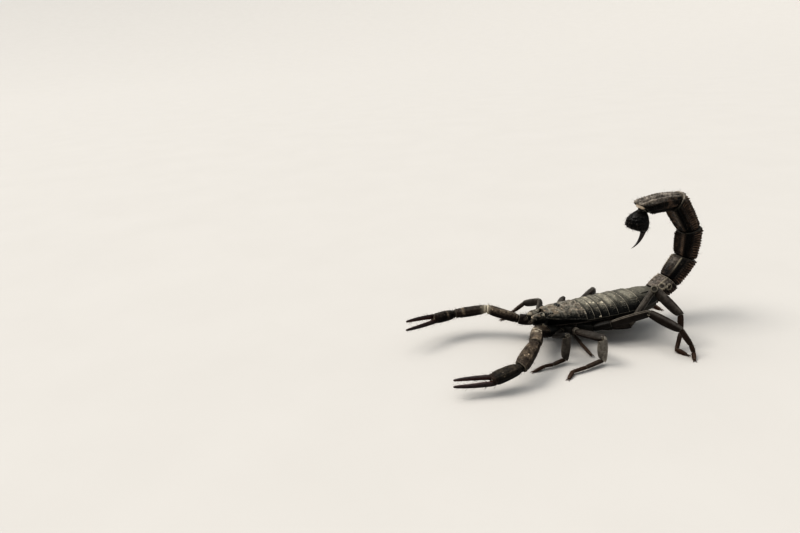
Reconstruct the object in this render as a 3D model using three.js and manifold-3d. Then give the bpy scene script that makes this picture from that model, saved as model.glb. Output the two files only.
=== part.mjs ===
// A life-size black thick-tailed scorpion, walking with its pincers held forward and its sting
// arched over its back. Millimetres, +Z up, head towards -Y, the animal's left side at +X.
// Each plate, tail ring and limb segment that is one piece of shell is one closed body.

import * as THREE from 'three';
import { mergeVertices } from 'three/addons/utils/BufferGeometryUtils.js';
import Module from 'manifold-3d';

const wasm = await Module();
wasm.setup();

// ---------------------------------------------------------------- driving dimensions

const GAP = 0.3;                        // clear gap between neighbouring bodies
const FLOOR = 0;
const WELD = 1e-4;                      // points closer than this are one point
const LEFT = 1;
const RIGHT = -1;

const CARAPACE = {
  front: -24.1, rear: -8.7,             // along Y
  frontHalf: 4.3, rearHalf: 8.0,        // half-width
  frontTop: 14.9, eyeTop: 15.3, rearTop: 15.2,
  frontMargin: 12.6, rearMargin: 10.9,  // height of the side margin
  underside: 9.5, tuck: 0.86,           // the wall under the margin draws in to this share
  frontDip: 0.45,                       // how far the middle of the front edge is set back
  square: 2.6, lift: 0.62,              // shape of its section: how flat the top, how steep the sides
  spread: 0.8,                          // how soon it widens behind the front
  corner: 0.14, cornerHalf: 0.62,       // share of length its front corners round off in, and width left
};
// The long furrow ahead of the eye mound and behind it, which fades out before the rear edge.
const FURROW = { half: 0.1, depth: 0.45, clear: 1.6, ease: 1.4, fade: [-12, -9.5], faded: 0.4 };
const EYES = { y: -17.4, x: 0.9, radius: 0.62, sunk: 0.2, mound: 1.5, rise: 0.6, narrow: 6.2 };
const LATERAL_EYES = { count: 3, y: -22.9, x: 3.35, spacing: 0.75, outward: 0.22, radius: 0.32 };

const COXAE_TOP = CARAPACE.underside - GAP;

// Rings of the body from the carapace back: length of each, and the widths and heights they span.
const RING_LENGTHS = [2.9, 2.8, 3.4, 3.9, 4.9, 6.0, 10.3];
const BODY = {
  frontHalf: 8.1, fullHalf: 9.0, tailHalf: 5.0,
  fullAt: 5, taperFrom: 12,             // Y where it is widest, and where it starts to taper
  frontTop: 15.3, rearTop: 15.9, endDrop: 0.5,
  margin: 10.6, rearMargin: 11.6,       // height of the plates' side edges
  rearBelly: 8.3, freeBelly: 7.2,
  lip: 0.28,                            // each plate's rear edge stands this much proud
  ringsOverCoxae: 4,                    // the first rings lie above the leg roots
  taper: 1.6, square: 2.4, lift: 0.7,   // shape of the outline and of a back plate's section
  plate: 0.58,                          // share of a section's points that lie on its back plate
  skirt: 0.93, skirtDrop: 0.5,          // the belly starts this much narrower and lower
};

// The tail in the middle plane: joint places as [y, z].
const TAIL_JOINTS = [[25.8, 12.3], [34.0, 17.2], [41.0, 26.2], [41.7, 38.2], [33.9, 50.6], [18.5, 49.8]];
// Taper is the size of a ring's far end as a share of its middle; necks are the girths at its ends;
// bow is how far the ring's middle bulges towards the inside of the arch.
const TAIL_RINGS = [
  { halfWidth: 4.4, halfHeight: 3.6, taper: 0.97, necks: [0.84, 0.86] },
  { halfWidth: 4.5, halfHeight: 3.8, taper: 0.97, necks: [0.78, 0.88] },
  { halfWidth: 4.5, halfHeight: 4.0, taper: 0.97, necks: [0.74, 0.92] },
  { halfWidth: 4.3, halfHeight: 3.85, taper: 0.97, necks: [0.86, 0.86] },
  { halfWidth: 3.8, halfHeight: 3.1, taper: 0.8, necks: [0.86, 0.9], bow: -0.5 },
];
const TAIL = { start: 0.9, shoulder: 0.2, square: 2.6, rows: 11 };  // start is its near end's share
const KEEL_STEPS = [2, 5, 7, 9, 11];    // keels on each side, in 15 degree steps from the back
const KEEL = { sides: 24, height: 0.5, dip: 0.55, groove: 0.14, fade: 0.08, least: 0.25 };
const TELSON = {
  seat: -84,                            // angle of the face that meets the last ring
  pitch: -69, bend: 90, curl: 1.7,      // it leaves the joint at pitch and curls on by bend
  neck: 1.25, bulb: 8.85, sting: 8.3,   // lengths along it
  neckHalf: 1.35, halfWidth: 3.9, halfDepth: 4.4, sag: 3.0,
  stingHalf: 1.0, tipHalf: 0.12,
  lead: 0.86, fullWidth: 0.6, fullDepth: 0.38,  // where the bulb is widest, and how blunt its ends are
  seatShare: 0.3,                       // share of its length over which the joint face straightens out
  rows: 18, sides: 14, bulbRows: 0.6, bump: 0.22, square: 2.1,
};

const CHELICERA = {
  length: 5.2, halfWidth: 1.6, halfHeight: 2.15, z: 12.3, x: 1.78, taper: 0.8, droop: 0.5,
  finger: { length: 2.4, halfWidth: 0.42, halfHeight: 0.55, tip: 0.09, apart: 0.42, sunk: 0.9, below: 0.3 },
};

// Pincer arm joints: root, then the far end of trochanter, femur, patella and hand, then both tips.
const PALPS = {
  left: {
    side: LEFT, root: [5.9, -24.6, 7.9], elbow: [6.3, -29.4, 9.4], arm: [17, -35.8, 10.8],
    wrist: [26.1, -46.4, 7.9], palm: [26.3, -57.7, 5.4], fixedTip: [21.6, -69.6, 5.6],
    movingTip: [24.3, -70.7, 4.8], opening: [0.75, 0, -0.66],
  },
  right: {
    side: RIGHT, root: [-5.9, -24.6, 7.9], elbow: [-8, -29.8, 8.7], arm: [-15.4, -40.1, 12],
    wrist: [-20.6, -52, 10], palm: [-18.8, -62.3, 10.3], fixedTip: [-12.4, -75.6, 10.8],
    movingTip: [-14.8, -74.6, 13.2], opening: [-0.75, 0, 0.66],
  },
};
const PALP_SIZES = {
  trochanter: { halfWidth: [1.95, 2.3, 2.05], halfHeight: [1.8, 2.1, 1.9] },
  femur: { halfWidth: [1.95, 2.4, 2.35], halfHeight: [1.75, 1.95, 1.9] },
  patella: { halfWidth: [2.0, 2.65, 2.5], halfHeight: [1.7, 2.0, 1.85] },
  hand: { halfWidth: [1.8, 2.5, 2.2], halfHeight: [1.7, 2.1, 1.95] },
  finger: { halfWidth: 0.9, halfHeight: 0.95, tip: 0.2, bow: 0.45, split: 1.1 },
};
const PALP_COXA = {
  inner: [3, -18.6, 7.2],               // where it comes out of the body
  arrival: [-1.2, 4, -0.4],             // from the root back towards the body, which turns the joint face
  halfWidth: [1.9, 2.35, 2.1], halfHeight: [1.6, 1.95, 1.9], necks: [0.7, 0.9],
};

// Leg joints: hip, knee 1 (trochanter to femur), knee, shin, heel, ankle and toe.
const LEGS = {
  left: [
    [[5.5, -19, 7], [7.6, -22.6, 6.7], [18.5, -24, 12], [17.7, -24.2, 1.9], [18.7, -29.6, 1.5],
      [18.3, -32.9, 1.3], [18.8, -37.2, 0.3]],
    [[7, -13.5, 7], [10, -14.3, 7.8], [24.2, -12.9, 11.3], [23.8, -12.4, 2], [25.2, -20.1, 1.5],
      [25.6, -25.6, 1.25], [27.9, -28.6, 0.3]],
    [[8, -6, 7], [12, -1, 9.4], [15.5, 13.3, 12.5], [29.4, 16.1, 11], [30.4, 20.4, 4.5],
      [31.4, 21.0, 1.8], [34.0, 19.3, 0.3]],
    [[9.2, 1.8, 6.7], [10.7, 8.6, 6.5], [10.9, 18.4, 20], [22.4, 21.6, 13], [23.3, 21.7, 6],
      [26.4, 17.8, 1.3], [29.8, 19.4, 0.3]],
  ],
  right: [
    [[-5.5, -19, 7], [-8.4, -21, 7], [-16.5, -15.4, 10.3], [-28.3, -16.7, 5], [-27.3, -21.8, 3],
      [-27.2, -24.4, 1.6], [-26.3, -28.2, 0.3]],
    [[-7, -13.5, 7], [-10.2, -12.3, 7.4], [-16.2, -5.1, 9.8], [-7.5, -8.4, 2], [1.5, -10.2, 1.9],
      [9.5, -11.8, 1.7], [17.0, -12.5, 1.0]],
    [[-8, -6, 7], [-11.4, -1.8, 7.6], [-14.4, 8, 12.1], [-22, 13, 5], [-25.4, 16, 3],
      [-27.6, 18, 1.4], [-30.4, 20.2, 0.3]],
    [[-9.2, 1.8, 6.7], [-11.8, 8.4, 6.2], [-11.9, 22, 8.8], [-12, 31, 4], [-11.8, 34, 2.4],
      [-11.3, 36.3, 1.4], [-7.3, 37.6, 0.3]],
  ],
};
const LEG_GIRTH = [0.84, 0.94, 1.0, 1.08];
// The upper side of each leg's thigh, and of its shin and foot, which are rolled as the leg swings.
const LEG_DORSAL = {
  left: [
    { thigh: [0.35, 1, 0.35], shin: [0.35, 1, 0.35] },
    { thigh: [0.35, 1, 0.35], shin: [0.35, 1, 0.35] },
    { thigh: [0.5, 0, 1], shin: [0.5, 0, 1] },
    { thigh: [0.7, -0.6, 0.45], shin: [0.5, 0, 1] },
  ],
  right: [
    { thigh: [-0.5, 0, 1], shin: [-0.5, 0, 1] },
    { thigh: [0.9, -0.25, 0.34], shin: [0.6, -0.4, 0.7] },
    { thigh: [0.9, -0.25, 0.34], shin: [0.6, -0.2, 0.75] },
    { thigh: [-0.5, 0, 1], shin: [-0.5, 0, 1] },
  ],
};
const LEG_SIZES = {
  coxa: { halfWidth: [1.5, 1.8, 1.6], halfHeight: [1.5, 1.7, 1.6] },
  trochanter: { halfWidth: [1.2, 1.4, 1.2], halfHeight: [1.3, 1.5, 1.35] },
  femur: { halfWidth: [1.0, 1.15, 1.05], halfHeight: [1.45, 2.05, 1.75] },
  patella: { halfWidth: [1.12, 1.42, 1.12], halfHeight: [1.35, 1.85, 1.35] },
  tibia: { halfWidth: [0.85, 0.85, 0.72], halfHeight: [0.95, 1.0, 0.8] },
  basitarsus: { halfWidth: [0.68, 0.7, 0.6], halfHeight: [0.75, 0.78, 0.66] },
  telotarsus: { halfWidth: [0.58, 0.64, 0.5], halfHeight: [0.66, 0.74, 0.6] },
  claw: { length: 1.5, root: 0.26, tip: 0.07, spread: 24, sunk: 0.35, arch: 0.15, droop: 0.22 },
};
const COXA_ROOTS = [[1.2, -21.2, 7], [1.3, -18, 6.9], [1.4, -13.6, 6.8], [1.5, -9.4, 6.8]];

const STERNUM = {
  front: [0, -22.5, 7.2], rear: [0, 4, 7.2],
  halfWidth: [3.0, 5.6, 5.6], halfHeight: [1.5, 1.7, 1.5], necks: [0.8, 0.9],
};
const COXA_NECKS = [0.7, 0.86];

const PECTINE = {
  spine: [[1.4, 5.1, 5.7], [3.4, 6.8, 5.2], [9.6, 8.6, 4.6]],
  teeth: 9, firstTooth: 0.16, lastTooth: 0.96,
  halfWidth: 0.75, halfHeight: 0.5, taper: 0.45,
  tooth: 2.3, shorter: 0.35, toothHalf: 0.27, toothTip: 0.17,
};

const SHELL = new THREE.MeshStandardMaterial({ color: 0x26231f, roughness: 0.62, metalness: 0 });
const TAIL_SHELL = new THREE.MeshStandardMaterial({ color: 0x1c1714, roughness: 0.5, metalness: 0 });
const LEG_SHELL = new THREE.MeshStandardMaterial({ color: 0x2e2a27, roughness: 0.6, metalness: 0 });
const FINGER_SHELL = new THREE.MeshStandardMaterial({ color: 0x3a1512, roughness: 0.4, metalness: 0 });
const EYE = new THREE.MeshStandardMaterial({ color: 0x050505, roughness: 0.15, metalness: 0 });
const SOFT = new THREE.MeshStandardMaterial({ color: 0x6d5f4c, roughness: 0.7, metalness: 0 });

// ---------------------------------------------------------------- geometry helpers

const { lerp, clamp, smoothstep, degToRad } = THREE.MathUtils;
const point = ([x, y, z]) => new THREE.Vector3(x, y, z);
const UP = new THREE.Vector3(0, 0, 1);
const BACKWARD = new THREE.Vector3(0, 1, 0);

// A geometry whose shared points are merged, so that it is closed.
function closed(geometry) {
  geometry.deleteAttribute('normal');
  geometry.deleteAttribute('uv');
  return mergeVertices(geometry, WELD);
}

// A closed body made of rings: place(t, u, rho) says where each point goes, with t from 0 to 1
// along the body, u from 0 to 1 round it from the top over +X, and rho 0 on the axis, 1 outside.
function loft(rows, sides, place) {
  const geometry = new THREE.CylinderGeometry(1, 1, 1, sides, rows);
  const position = geometry.attributes.position;
  for (let i = 0; i < position.count; i += 1) {
    const x = position.getX(i);
    const z = position.getZ(i);
    const rho = Math.round(Math.hypot(x, z));
    const turn = Math.round(sides * Math.atan2(x, z) / (2 * Math.PI));
    const u = ((turn + sides) % sides) / sides;
    position.setXYZ(i, ...place(position.getY(i) + 0.5, u, rho));
  }
  return closed(geometry);
}

function toManifold(geometry) {
  const vertProperties = new Float32Array(geometry.attributes.position.array);
  const triVerts = new Uint32Array(geometry.index.array);
  return new wasm.Manifold(new wasm.Mesh({ numProp: 3, vertProperties, triVerts }));
}

function toGeometry(solid) {
  const { vertProperties, triVerts } = solid.getMesh();
  const geometry = new THREE.BufferGeometry();
  geometry.setAttribute('position', new THREE.BufferAttribute(vertProperties, 3));
  geometry.setIndex(new THREE.BufferAttribute(triVerts, 1));
  return geometry;
}

// The largest closed surface of a solid, without loose scraps or sealed hollows.
function largest(solid) {
  return solid.decompose().reduce((best, next) => (next.volume() > best.volume() ? next : best));
}

function fuse(geometries) {
  const solid = geometries.map(toManifold).reduce((sum, next) => sum.add(next));
  return toGeometry(largest(solid));
}

function cut(geometry, tools) {
  const whole = toManifold(geometry);
  const solid = tools.map(toManifold).reduce((rest, tool) => rest.subtract(tool), whole);
  return toGeometry(largest(solid));
}

function part(name, geometry, material) {
  const mesh = new THREE.Mesh(geometry, material);
  mesh.name = name;
  return mesh;
}

// A power that rounding just below zero can't break.
function power(base, exponent) {
  return Math.max(base, 0) ** exponent;
}

// A value that runs from start over middle to end as t goes from 0 to 1.
function swell([start, middle, end], t) {
  return lerp(start, end, t) + 4 * t * (1 - t) * (middle - (start + end) / 2);
}

// A point of a rounded section: square 2 is an ellipse, more is boxier.
function section(u, halfWidth, halfHeight, square = 2) {
  const sine = Math.sin(2 * Math.PI * u);
  const cosine = Math.cos(2 * Math.PI * u);
  const bend = (value) => Math.sign(value) * Math.abs(value) ** (2 / square);
  return [halfWidth * bend(sine), halfHeight * bend(cosine)];
}

// Share of the full girth at t: it falls to neck at both ends, over the shoulder's share of length.
function girth(t, necks, shoulder) {
  const [neck, reach] = t < 0.5 ? [necks[0], t / shoulder] : [necks[1], (1 - t) / shoulder];
  const rest = clamp(1 - reach, 0, 1);
  return neck + (1 - neck) * Math.sqrt(1 - rest * rest);
}

// Axes of a limb that runs from one joint to the next, with its upper side towards dorsal.
function limbAxes(from, to, dorsal) {
  const along = to.clone().sub(from);
  const length = along.length();
  along.normalize();
  const across = new THREE.Vector3().crossVectors(along, dorsal).normalize();
  const up = new THREE.Vector3().crossVectors(across, along);
  return { along, across, up, length };
}

// The normal of the plane in which the bodies either side of a joint meet.
function jointNormal(before, joint, after) {
  const arriving = joint.clone().sub(before).normalize();
  const leaving = after.clone().sub(joint).normalize();
  return arriving.add(leaving).normalize();
}

// A limb segment or tail ring, straight or with a bow. Its end faces lie in the joint planes, each
// set back by its own inset, so that neighbours meet face to face.
function segment({
  from, to, startNormal, endNormal, dorsal = UP, halfWidth, halfHeight, necks = [0.72, 0.8],
  shoulder = 0.14, square = 2.3, rows = 5, sides = 8, insets = [GAP / 2, GAP / 2], shearPower = 2,
  relief = () => 0, floor = -Infinity, bow = 0,
}) {
  const axes = limbAxes(from, to, dorsal);
  const { along, across, up, length } = axes;
  const plane = (normal, inset, x, z) => {
    const facing = normal ? normal.dot(along) : 1;
    const lean = normal ? x * normal.dot(across) + z * normal.dot(up) : 0;
    return (inset - lean) / facing;
  };
  return loft(rows, sides, (t, u, rho) => {
    const eased = (1 - Math.cos(Math.PI * t)) / 2;
    const share = rho * girth(eased, necks, shoulder);
    const wide = swell(halfWidth, eased) * share;
    const high = swell(halfHeight, eased) * share;
    let [x, z] = section(u, wide, high, square);
    const radius = Math.hypot(x, z) || 1;
    const raised = 1 + rho * relief(eased, u, Math.round(t * rows)) / radius;
    x *= raised;
    z *= raised;
    const start = plane(startNormal, insets[0], x, z);
    const end = plane(endNormal, -insets[1], x, z);
    const y = eased * length + start * (1 - eased) ** shearPower + end * eased ** shearPower;
    z += bow * Math.sin(Math.PI * eased);
    const place = from.clone().addScaledVector(along, y);
    place.addScaledVector(across, x).addScaledVector(up, z);
    place.z = Math.max(place.z, floor);
    return place.toArray();
  });
}

// A tapering body along a curve that ends in a small tip. It keeps its girth longer where blunt is
// higher and fullness is lower, and is thinned evenly by slim.
function horn({
  curve, halfWidth, halfHeight, tip, rows, sides, blunt = 2, fullness = 1, slim = 0.35,
}) {
  return loft(rows, sides, (t, u, rho) => {
    const centre = curve.getPoint(t);
    const along = curve.getTangent(t);
    const across = new THREE.Vector3().crossVectors(along, UP).normalize();
    const up = new THREE.Vector3().crossVectors(across, along);
    const thick = power(1 - t ** blunt, fullness) * (1 - slim * t);
    const [x, z] = section(u, lerp(tip, halfWidth, thick), lerp(tip, halfHeight, thick));
    return centre.addScaledVector(across, rho * x).addScaledVector(up, rho * z).toArray();
  });
}

function ball(centre, radius, sides) {
  const geometry = new THREE.SphereGeometry(radius, sides, Math.ceil(sides / 2));
  geometry.translate(centre.x, centre.y, centre.z);
  return closed(geometry);
}

// ---------------------------------------------------------------- carapace and eyes

const CARAPACE_SIDES = 26;
const CARAPACE_ROWS = 12;
const TOP_SHARE = 0.8;                  // share of a section's points that lie on its upper side

// Height of the carapace, with x as a share of the half-width.
function carapaceTop(share, y) {
  const t = (y - CARAPACE.front) / (CARAPACE.rear - CARAPACE.front);
  const crown = swell([CARAPACE.frontTop, CARAPACE.eyeTop, CARAPACE.rearTop], t);
  const margin = lerp(CARAPACE.frontMargin, CARAPACE.rearMargin, t);
  const dome = power(1 - Math.abs(share) ** CARAPACE.square, CARAPACE.lift);
  const mound = Math.hypot(share * EYES.narrow, y - EYES.y) / EYES.mound;
  const away = Math.abs(y - EYES.y);
  const fade = y > EYES.y ? FURROW.faded * smoothstep(y, ...FURROW.fade) : 0;
  const furrow = smoothstep(away, FURROW.clear, FURROW.clear + FURROW.ease) - fade;
  const groove = FURROW.depth * furrow * Math.exp(-((share / FURROW.half) ** 2));
  return margin + (crown - margin) * dome + EYES.rise * Math.exp(-(mound ** 2)) - groove;
}

function carapaceHalf(y) {
  const t = (y - CARAPACE.front) / (CARAPACE.rear - CARAPACE.front);
  const out = clamp(t / CARAPACE.corner, 0, 1);
  const corner = lerp(CARAPACE.cornerHalf, 1, Math.sqrt(1 - (1 - out) ** 2));
  return lerp(CARAPACE.frontHalf, CARAPACE.rearHalf, power(t, CARAPACE.spread)) * corner;
}

// A point of a plate's section: over the top from one margin to the other, then back underneath.
function plateSection(u, half, top, underside, tuck) {
  const around = u > 0.5 ? u - 1 : u;
  const reach = Math.abs(around) * 2;
  const side = Math.sign(around);
  if (reach <= TOP_SHARE) {
    const share = side * Math.sin((Math.PI / 2) * (reach / TOP_SHARE));
    return [half * share, top(share)];
  }
  const inward = (1 - reach) / (1 - TOP_SHARE);
  return [side * half * tuck * inward, underside];
}

function carapace() {
  const { front, rear, underside, tuck, frontDip } = CARAPACE;
  const plate = loft(CARAPACE_ROWS, CARAPACE_SIDES, (t, u, rho) => {
    const y = lerp(front, rear - GAP / 2, t);
    const half = carapaceHalf(y);
    const middle = (underside + carapaceTop(0, y)) / 2;
    const [x, z] = plateSection(u, half, (share) => carapaceTop(share, y), underside, tuck);
    const dip = frontDip * (1 - t) ** 3 * (1 - (rho * x / half) ** 2);
    return [rho * x, y + dip, middle + rho * (z - middle)];
  });
  const lateralEyes = [];
  for (const side of [LEFT, RIGHT]) {
    for (let i = 0; i < LATERAL_EYES.count; i += 1) {
      const y = LATERAL_EYES.y + i * LATERAL_EYES.spacing;
      const x = LATERAL_EYES.x + i * LATERAL_EYES.outward;
      const z = carapaceTop(x / carapaceHalf(y), y);
      lateralEyes.push(ball(new THREE.Vector3(side * x, y, z), LATERAL_EYES.radius, 6));
    }
  }
  const sockets = [LEFT, RIGHT].map((side) => ball(eyeCentre(side), EYES.radius + GAP, 8));
  return cut(fuse([plate, ...lateralEyes]), sockets);
}

function eyeCentre(side) {
  const surface = carapaceTop(EYES.x / carapaceHalf(EYES.y), EYES.y);
  return new THREE.Vector3(side * EYES.x, EYES.y, surface - EYES.sunk);
}

// ---------------------------------------------------------------- body rings

const RING_SIDES = 24;

const BODY_LENGTH = RING_LENGTHS.reduce((sum, next) => sum + next);

function bodyHalf(y) {
  const { frontHalf, fullHalf, tailHalf, fullAt, taperFrom, taper } = BODY;
  if (y < fullAt) {
    const t = (y - CARAPACE.rear) / (fullAt - CARAPACE.rear);
    return lerp(frontHalf, fullHalf, Math.sin((Math.PI / 2) * t));
  }
  const end = CARAPACE.rear + BODY_LENGTH;
  return lerp(fullHalf, tailHalf, clamp((y - taperFrom) / (end - taperFrom), 0, 1) ** taper);
}

function bodyRing(index, front, rear) {
  const underCoxae = index < BODY.ringsOverCoxae;
  return loft(4, RING_SIDES, (t, u, rho) => {
    const y = lerp(front + GAP / 2, rear - GAP / 2, (1 - Math.cos(Math.PI * t)) / 2);
    const along = (y - CARAPACE.rear) / BODY_LENGTH;
    const sunk = BODY.lip * (1 - t);
    const half = bodyHalf(y) - sunk;
    const margin = lerp(BODY.margin, BODY.rearMargin, along);
    const drop = BODY.endDrop * smoothstep(along, 0.85, 1);
    const crown = lerp(BODY.frontTop, BODY.rearTop, along) - sunk - drop;
    const around = u > 0.5 ? u - 1 : u;
    const reach = Math.abs(around) * 2;
    const side = Math.sign(around);
    let x;
    let z;
    if (reach <= BODY.plate) {
      const share = Math.sin((Math.PI / 2) * (reach / BODY.plate));
      x = half * share;
      z = margin + (crown - margin) * power(1 - share ** BODY.square, BODY.lift);
    } else {
      const free = lerp(BODY.freeBelly, BODY.rearBelly, along ** 4);
      const belly = underCoxae ? CARAPACE.underside : free;
      const under = (Math.PI / 2) * ((reach - BODY.plate) / (1 - BODY.plate));
      x = half * BODY.skirt * power(Math.cos(under), 0.6);
      z = lerp(margin - BODY.skirtDrop, belly, power(Math.sin(under), 0.45));
    }
    const middle = (margin + crown) / 2 - 1;
    return [rho * side * x, y, middle + rho * (z - middle)];
  });
}

function bodyRings() {
  let front = CARAPACE.rear;
  return RING_LENGTHS.map((length, index) => {
    const rear = front + length;
    const ring = part(`mesosoma_${index + 1}`, bodyRing(index, front, rear), SHELL);
    front = rear;
    return ring;
  });
}

// ---------------------------------------------------------------- tail and sting

const tailPoint = ([y, z]) => new THREE.Vector3(0, y, z);

// Keels and the hollow back of a tail ring: keels are rows of granules, so every other row dips.
function keelRelief(halfHeight) {
  return (t, u, row) => {
    const step = Math.round(u * KEEL.sides);
    const fromBack = Math.min(step, KEEL.sides - step);
    const ends = clamp(Math.min(t, 1 - t) / KEEL.fade, KEEL.least, 1);
    if (KEEL_STEPS.includes(fromBack)) {
      return KEEL.height * ends * (row % 2 ? 1 : KEEL.dip);
    }
    return fromBack === 0 ? -KEEL.groove * ends * halfHeight : 0;
  };
}

function tailRings() {
  const joints = TAIL_JOINTS.map(tailPoint);
  const last = joints[joints.length - 1];
  const telsonEnd = last.clone().add(tailDirection(TELSON.seat));
  return TAIL_RINGS.map(({ halfWidth, halfHeight, taper, necks, bow }, index) => {
    const [from, to] = [joints[index], joints[index + 1]];
    const startNormal = index === 0 ? BACKWARD : jointNormal(joints[index - 1], from, to);
    const geometry = segment({
      from,
      to,
      startNormal,
      endNormal: jointNormal(from, to, joints[index + 2] ?? telsonEnd),
      dorsal: tailBack(from, to),
      halfWidth: [halfWidth * TAIL.start, halfWidth, halfWidth * taper],
      halfHeight: [halfHeight * TAIL.start, halfHeight, halfHeight * taper],
      necks,
      bow,
      shoulder: TAIL.shoulder,
      square: TAIL.square,
      rows: TAIL.rows,
      sides: KEEL.sides,
      relief: keelRelief(halfHeight),
    });
    return part(`metasoma_${index + 1}`, geometry, TAIL_SHELL);
  });
}

// The back of the tail faces the inside of its arch.
function tailBack(from, to) {
  const along = to.clone().sub(from);
  return new THREE.Vector3(0, -along.z, along.y);
}

function tailDirection(pitch) {
  return new THREE.Vector3(0, Math.cos(degToRad(pitch)), Math.sin(degToRad(pitch)));
}

// The line down the middle of the telson, which curls more and more towards the tip.
function telsonLine(from, total, steps) {
  const line = [from.clone()];
  for (let i = 1; i <= steps; i += 1) {
    const pitch = TELSON.pitch - TELSON.bend * (i / steps) ** TELSON.curl;
    line.push(line[i - 1].clone().addScaledVector(tailDirection(pitch), total / steps));
  }
  return line;
}

// Bulb and sting in one piece. The bulb hangs below the line and the sting runs on along it.
function telson() {
  const { neck, bulb, sting, neckHalf, stingHalf, tipHalf, rows, sides, bulbRows } = TELSON;
  const joints = TAIL_JOINTS.map(tailPoint);
  const from = joints[joints.length - 1];
  const normal = jointNormal(joints[joints.length - 2], from, from.clone().add(tailDirection(TELSON.seat)));
  const total = neck + bulb + sting;
  const neckShare = neck / total;
  const bulbShare = (neck + bulb) / total;
  const steps = 60;
  const line = telsonLine(from, total, steps);
  return loft(rows, sides, (t, u, rho) => {
    const share = t < bulbRows
      ? bulbShare * (1 - power(Math.cos((Math.PI / 2) * (t / bulbRows)), 1.2))
      : lerp(bulbShare, 1, (t - bulbRows) / (1 - bulbRows));
    const low = Math.min(Math.floor(share * steps), steps - 1);
    const centre = line[low].clone().lerp(line[low + 1], share * steps - low);
    const along = line[Math.min(low + 2, steps)].clone().sub(line[Math.max(low - 1, 0)]).normalize();
    const up = new THREE.Vector3(0, -along.z, along.y);
    const inBulb = clamp((share - neckShare) / (bulbShare - neckShare), 0, 1);
    const inSting = clamp((share - bulbShare) / (1 - bulbShare), 0, 1);
    const swollen = Math.sin(Math.PI * power(inBulb, TELSON.lead));
    const wide = power(swollen, TELSON.fullWidth);
    const deep = power(swollen, TELSON.fullDepth);
    const base = inBulb < 1 ? lerp(neckHalf, stingHalf, inBulb) : lerp(stingHalf, tipHalf, inSting);
    const below = u > 0.2 && u < 0.8;
    const bumps = wide > 0.5 && below && Math.round(t * rows) % 2 ? TELSON.bump : 0;
    const halfWidth = lerp(base, TELSON.halfWidth, wide) + bumps;
    const halfDepth = lerp(base, TELSON.halfDepth, deep) + bumps;
    const [x, z] = section(u, rho * halfWidth, rho * halfDepth, TELSON.square);
    const unswollen = section(u, rho * base, rho * base, TELSON.square)[1];
    const lean = (GAP / 2 - unswollen * normal.dot(up)) / normal.dot(along);
    const shear = lean * power(1 - share / TELSON.seatShare, 2);
    centre.x += x;
    centre.addScaledVector(up, z - TELSON.sag * deep).addScaledVector(along, shear);
    return centre.toArray();
  });
}

// ---------------------------------------------------------------- mouth pincers and pincer arms

function chelicera(side) {
  const { length, halfWidth, halfHeight, z, x, taper, droop, finger } = CHELICERA;
  const front = CARAPACE.front - GAP;
  const from = new THREE.Vector3(side * x, front, z);
  const to = new THREE.Vector3(side * x, front - length, z - droop);
  const trunk = segment({
    from,
    to,
    halfWidth: [halfWidth, halfWidth, halfWidth * taper],
    halfHeight: [halfHeight, halfHeight, halfHeight * taper],
    necks: [0.92, 0.5],
    shoulder: 0.35,
    rows: 5,
    sides: 10,
    insets: [0, 0],
  });
  const fingers = [LEFT, RIGHT].map((turn) => {
    const shift = (across, ahead, drop) => new THREE.Vector3(turn * across, ahead, -drop);
    const root = to.clone().add(shift(finger.apart, finger.sunk, finger.below));
    const bow = root.clone().add(shift(0.35, -finger.length * 0.6, 0.2));
    const end = root.clone().add(shift(-0.12, -finger.length, 0.7));
    return horn({ ...finger, curve: new THREE.QuadraticBezierCurve3(root, bow, end), rows: 4, sides: 6 });
  });
  return fuse([trunk, ...fingers]);
}

function palp(name, { side, root, elbow, arm, wrist, palm, fixedTip, movingTip, opening }) {
  const joints = [root, elbow, arm, wrist, palm].map(point);
  const names = ['trochanter', 'femur', 'patella', 'hand'];
  const before = palpArrival(side, joints[0]);
  const gape = point(opening).normalize();
  const nodes = names.map((piece, i) => {
    const [from, to] = [joints[i], joints[i + 1]];
    const previous = joints[i - 1] ?? before;
    const next = joints[i + 2];
    const { halfWidth, halfHeight } = PALP_SIZES[piece];
    const girths = {
      from, to, halfWidth, halfHeight,
      startNormal: jointNormal(previous, from, to),
      endNormal: next ? jointNormal(from, to, next) : undefined,
      dorsal: new THREE.Vector3(side * 0.3, 0, 1),
      rows: piece === 'trochanter' ? 4 : 8,
      sides: piece === 'trochanter' ? 10 : 12,
      shoulder: piece === 'hand' ? 0.3 : 0.2,
      necks: piece === 'hand' ? [0.68, 0.82] : [0.76, 0.82],
      shearPower: piece === 'trochanter' ? 1 : 2,
    };
    return [piece, segment(girths)];
  });
  const { halfWidth, halfHeight, tip, bow, split } = PALP_SIZES.finger;
  const fingerCurve = (end, sign, sink) => {
    const start = joints[4].clone().addScaledVector(gape, sign * split);
    const reach = point(end).sub(start).normalize();
    start.addScaledVector(reach, -sink);
    const middle = start.clone().lerp(point(end), 0.5).addScaledVector(gape, sign * bow);
    return new THREE.QuadraticBezierCurve3(start, middle, point(end));
  };
  const finger = (end, sign, sink) => horn({
    curve: fingerCurve(end, sign, sink), halfWidth, halfHeight, tip, rows: 8, sides: 8,
    blunt: 3, fullness: 0.35,
  });
  const hand = nodes.pop()[1];
  const moving = finger(movingTip, 1, -0.6);
  const fixed = fuse([hand, finger(fixedTip, -1, 2.4)]);
  return [
    ...nodes.map(([piece, geometry]) => part(`palp_${name}_${piece}`, geometry, SHELL)),
    part(`palp_${name}_hand`, fixed, SHELL),
    part(`palp_${name}_finger`, moving, FINGER_SHELL),
  ];
}

// ---------------------------------------------------------------- leg roots, legs and combs

const TROCHANTER = { insets: [GAP / 2, -0.25], rows: 3, shearPower: 1, necks: [0.85, 0.85] };

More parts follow.
